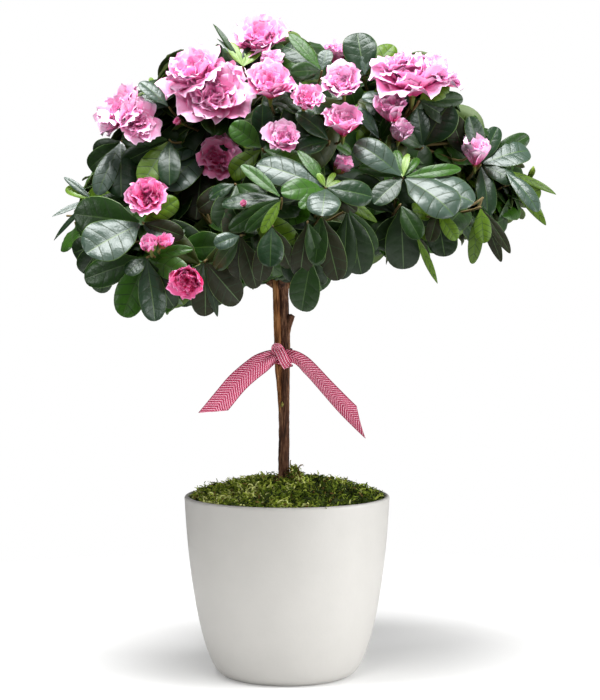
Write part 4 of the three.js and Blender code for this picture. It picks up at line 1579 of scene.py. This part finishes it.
def make_bloom(rng, shape, shoot):
    """One bloom or bud on its stalk."""
    size, openness, depth = shoot["bloom"]
    foot, axis = shoot["tip"], shoot["axis"]
    if openness < 0.1:
        for ring in BUD_RINGS:
            petal_ring(rng, shape, foot, axis, size * 1.35, ring, 1.0, depth)
        bud_scales(rng, shape, foot - axis * 1.5, axis, size * 0.42)
    else:
        full_size = size * (1.2 + 0.35 * (1 - openness))
        rings = RINGS if size > 28 else RINGS[:4]
        for ring in [*rings, HEART_RING]:
            petal_ring(rng, shape, foot, axis, full_size, ring, openness, depth)
        bud_scales(rng, shape, foot - axis * 2.5, axis, max(3.0, 0.16 * size))
    stalk = np.linspace(foot - axis * (size * 0.12 + 5), foot + axis * size * 0.06, 4)
    tubes(shape, stalk[None], np.linspace(0.9, 0.06 * size + 0.4, 4)[None], 6, SEPAL + 1)


def make_blooms(rng, shoots):
    pinks = petal_materials()
    for name, on_skirt in (("blossom_upper", False), ("blossom_skirt", True)):
        shape = Shape()
        for shoot in shoots:
            if shoot["bloom"] is not None and on_skirt == MASS_NAMES[shoot["mass"]].startswith("skirt"):
                make_bloom(rng, shape, shoot)
        shape.piece(name, pinks)


# ---- Ribbon ----------------------------------------------------------------------------------------

STRIPE = 0.6
CHEVRON = 7.5
CHEVRON_ROWS = 8
RIBBON_THICKNESS = 0.45
RIBBON_STRIPES = [(226, 92, 132), (252, 196, 214), (226, 92, 132), (156, 20, 58)]
RIBBON_HEM = (150, 40, 72)
RIBBON_EDGE = len(RIBBON_STRIPES)
# Measured from the knot, in mm.
WOUND_OVER = [(-3.4, 4.5, 5.6), (-3.4, -1, 6.2), (-1.2, -3.8, 2.8), (1.2, -3.8, -2.8), (3.6, -1, -6.6),
              (3.8, 4.5, -6.2)]
LOOP = [(-0.5, -1.0, 4.5), (-2.6, -2.6, 8.2), (-5.8, -2.2, 8.6), (-6.6, -1.0, 5.4), (-3.5, 0, 2.5)]


def ribbon_materials():
    made = []
    for i, colour in enumerate([*RIBBON_STRIPES, RIBBON_HEM]):
        thread = plain(f"ribbon_stripe_{i}", linear(*colour), 0.55,
                       Sheen_Weight=0.2, Specular_IOR_Level=0.35)
        made.append(uneven(thread, 2600, 0.00012, 0.6, 2))
    return made


def make_ribbon():
    """Two tails, the turn round the stem, the strip wound over their crossing and a small loop."""
    knot = on_stem(KNOT_HEIGHT) + [0, -(float(stem_radius(KNOT_HEIGHT)) + 3.6), 0]
    shape = Shape()
    tail(shape, np.array([(-2, 1.5, 1.5), *LEFT_TAIL]) + knot, -17.0, (0.3, -0.85, 0.5))
    tail(shape, np.array([(2, 1.5, 0.5), *RIGHT_TAIL]) + knot, -26.0, (-0.5, -0.8, -0.45))
    turn_round_stem(shape)
    folded_strip(shape, np.array(WOUND_OVER) + knot, 8.0, 1.2)
    folded_strip(shape, np.array(LOOP) + knot, 4.6, 0.4)
    shape.piece("ribbon", ribbon_materials(),
                ["ribbon_knot", "ribbon_tail_left", "ribbon_tail_right"])


def sheet_solid(shape, sheet, through, kinds, skip=None):
    """A thin sheet from a grid of points: a front, a back and its two long edges, without skipped quads."""
    rows, columns = sheet.shape[:2]
    both = np.concatenate([sheet.reshape(-1, 3), (sheet - through * RIBBON_THICKNESS).reshape(-1, 3)])
    quads = grid_faces(rows, columns)
    keep = np.ones(len(quads), bool) if skip is None else ~skip
    back = quads[:, ::-1] + rows * columns
    shape.add(both, np.concatenate([quads[keep], back[keep]]), np.concatenate([kinds[keep]] * 2))
    first = np.arange(rows - 1) * columns
    for edge in (first, first + columns - 1):
        rim = np.stack([edge, edge + columns, edge + columns + rows * columns, edge + rows * columns], 1)
        corners = both[rim]
        long = np.linalg.norm(corners[:, 0] - corners[:, 1], axis=1) > 1e-4
        shape.add(both, rim[long], RIBBON_EDGE)


def tail(shape, points, slant, facing):
    """A tail of the ribbon: gathered where it leaves the knot, then flat, cut off at a slant.

    Each row of points is a chevron, so that its stripes are too.
    """
    line = spline(points, 400)
    distance = along_line(line)
    total = distance[-1]
    v = np.array([-1, -0.94, -0.78, -0.6, -0.4, -0.2, 0, 0.2, 0.4, 0.6, 0.78, 0.94, 1.0])
    rows = int((total + abs(slant)) / STRIPE) + 2 * CHEVRON_ROWS
    s = (np.arange(rows)[:, None] - CHEVRON_ROWS) * STRIPE + CHEVRON * (np.abs(v)[None] - 0.5)
    s = np.clip(s, 0, total + slant / 2 * v[None])
    inner = np.clip(s, 1, total - 1)
    along = unit(at_distance(inner + 1, distance, line) - at_distance(inner - 1, distance, line))
    centre = at_distance(s, distance, line) + (s - total).clip(0)[..., None] * along
    across = unit(np.cross(unit(np.array(facing, float)), along))
    through = np.cross(along, across)
    gather = 1 - smoothstep(s, 2, 20)
    width = RIBBON_WIDTH * (1 - 0.28 * gather)
    pleat = 1.7 * gather * np.sin(v[None] * 6.5) + 0.9 * np.sin(s / 17) * v[None] - 1.1 * v[None] ** 2
    sheet = centre + across * (v[None] * width / 2)[..., None] + through * pleat[..., None]
    columns = len(v)
    quads = grid_faces(rows, columns)
    row, column = quads[:, 0] // columns, quads[:, 0] % columns
    at_edge = (column == 0) | (column == columns - 2)
    kinds = np.where(at_edge, RIBBON_EDGE, row % RIBBON_EDGE)
    flat = np.ptp(s.ravel()[quads], axis=1) < 1e-6
    sheet_solid(shape, sheet, through, kinds, flat)


def folded_strip(shape, points, width, crown):
    """A short strip laid along its points with its stripes running lengthwise, rounded across."""
    line = spline(points, 40)
    along = unit(np.gradient(line, axis=0))
    outward = upright_to(np.array([[0.0, -1.0, 0.1]]) + 0 * along, along)
    outward[along[:, 1] ** 2 > 0.8] = [0, 0, 1]
    across = unit(np.cross(outward, along))
    through = np.cross(along, across)
    v = np.linspace(-1, 1, 17)
    ripple = 0.35 * np.sin(11 * v)
    lift = crown * (1 - v**2) + ripple * (1 - v**4)
    sheet = line[:, None] + across[:, None] * (v * width / 2)[:, None] + through[:, None] * lift[:, None]
    quads = grid_faces(len(line), len(v))
    kinds = np.array([3, 1, 3, 0])[(quads[:, 0] % len(v)) % 4]
    spread = np.broadcast_to(through[:, None], sheet.shape)
    sheet_solid(shape, sheet, spread, kinds)


def turn_round_stem(shape):
    """The turn of ribbon round the stem, creased lengthwise."""
    centre = on_stem(KNOT_HEIGHT)
    reach = float(stem_radius(KNOT_HEIGHT)) + 1.2
    sides, rows = 60, 17
    angle = np.linspace(0, 2 * math.pi, sides, endpoint=False)[None]
    v = np.linspace(-1, 1, rows)[:, None]
    fold = 0.55 * np.sin(7 * v + 1.5 * np.sin(angle)) + 0.5 * (1 - v**2)
    radius = reach + fold
    height = 5.6 * v * (0.85 + 0.15 * np.cos(angle)) + 1.5 * np.sin(angle)
    points = np.stack([centre[0] + radius * np.cos(angle), centre[1] + radius * np.sin(angle),
                       centre[2] + height], -1)
    quads = grid_faces(rows, sides, wrap=True)
    shape.add(points.reshape(-1, 3), quads, (quads[:, 0] // sides) % 4)


# ---- Everything ------------------------------------------------------------------------------------


rng = np.random.default_rng(SEED)
make_camera()
make_floor()
make_light()
make_pot()
dress_soil()
make_moss(rng)
make_stem()
shoots = lay_out_shoots(rng)
branches, twigs = grow_twigs(shoots)
make_twigs(branches, twigs)
make_leaves(rng, shoots)
make_blooms(rng, shoots)
make_ribbon()
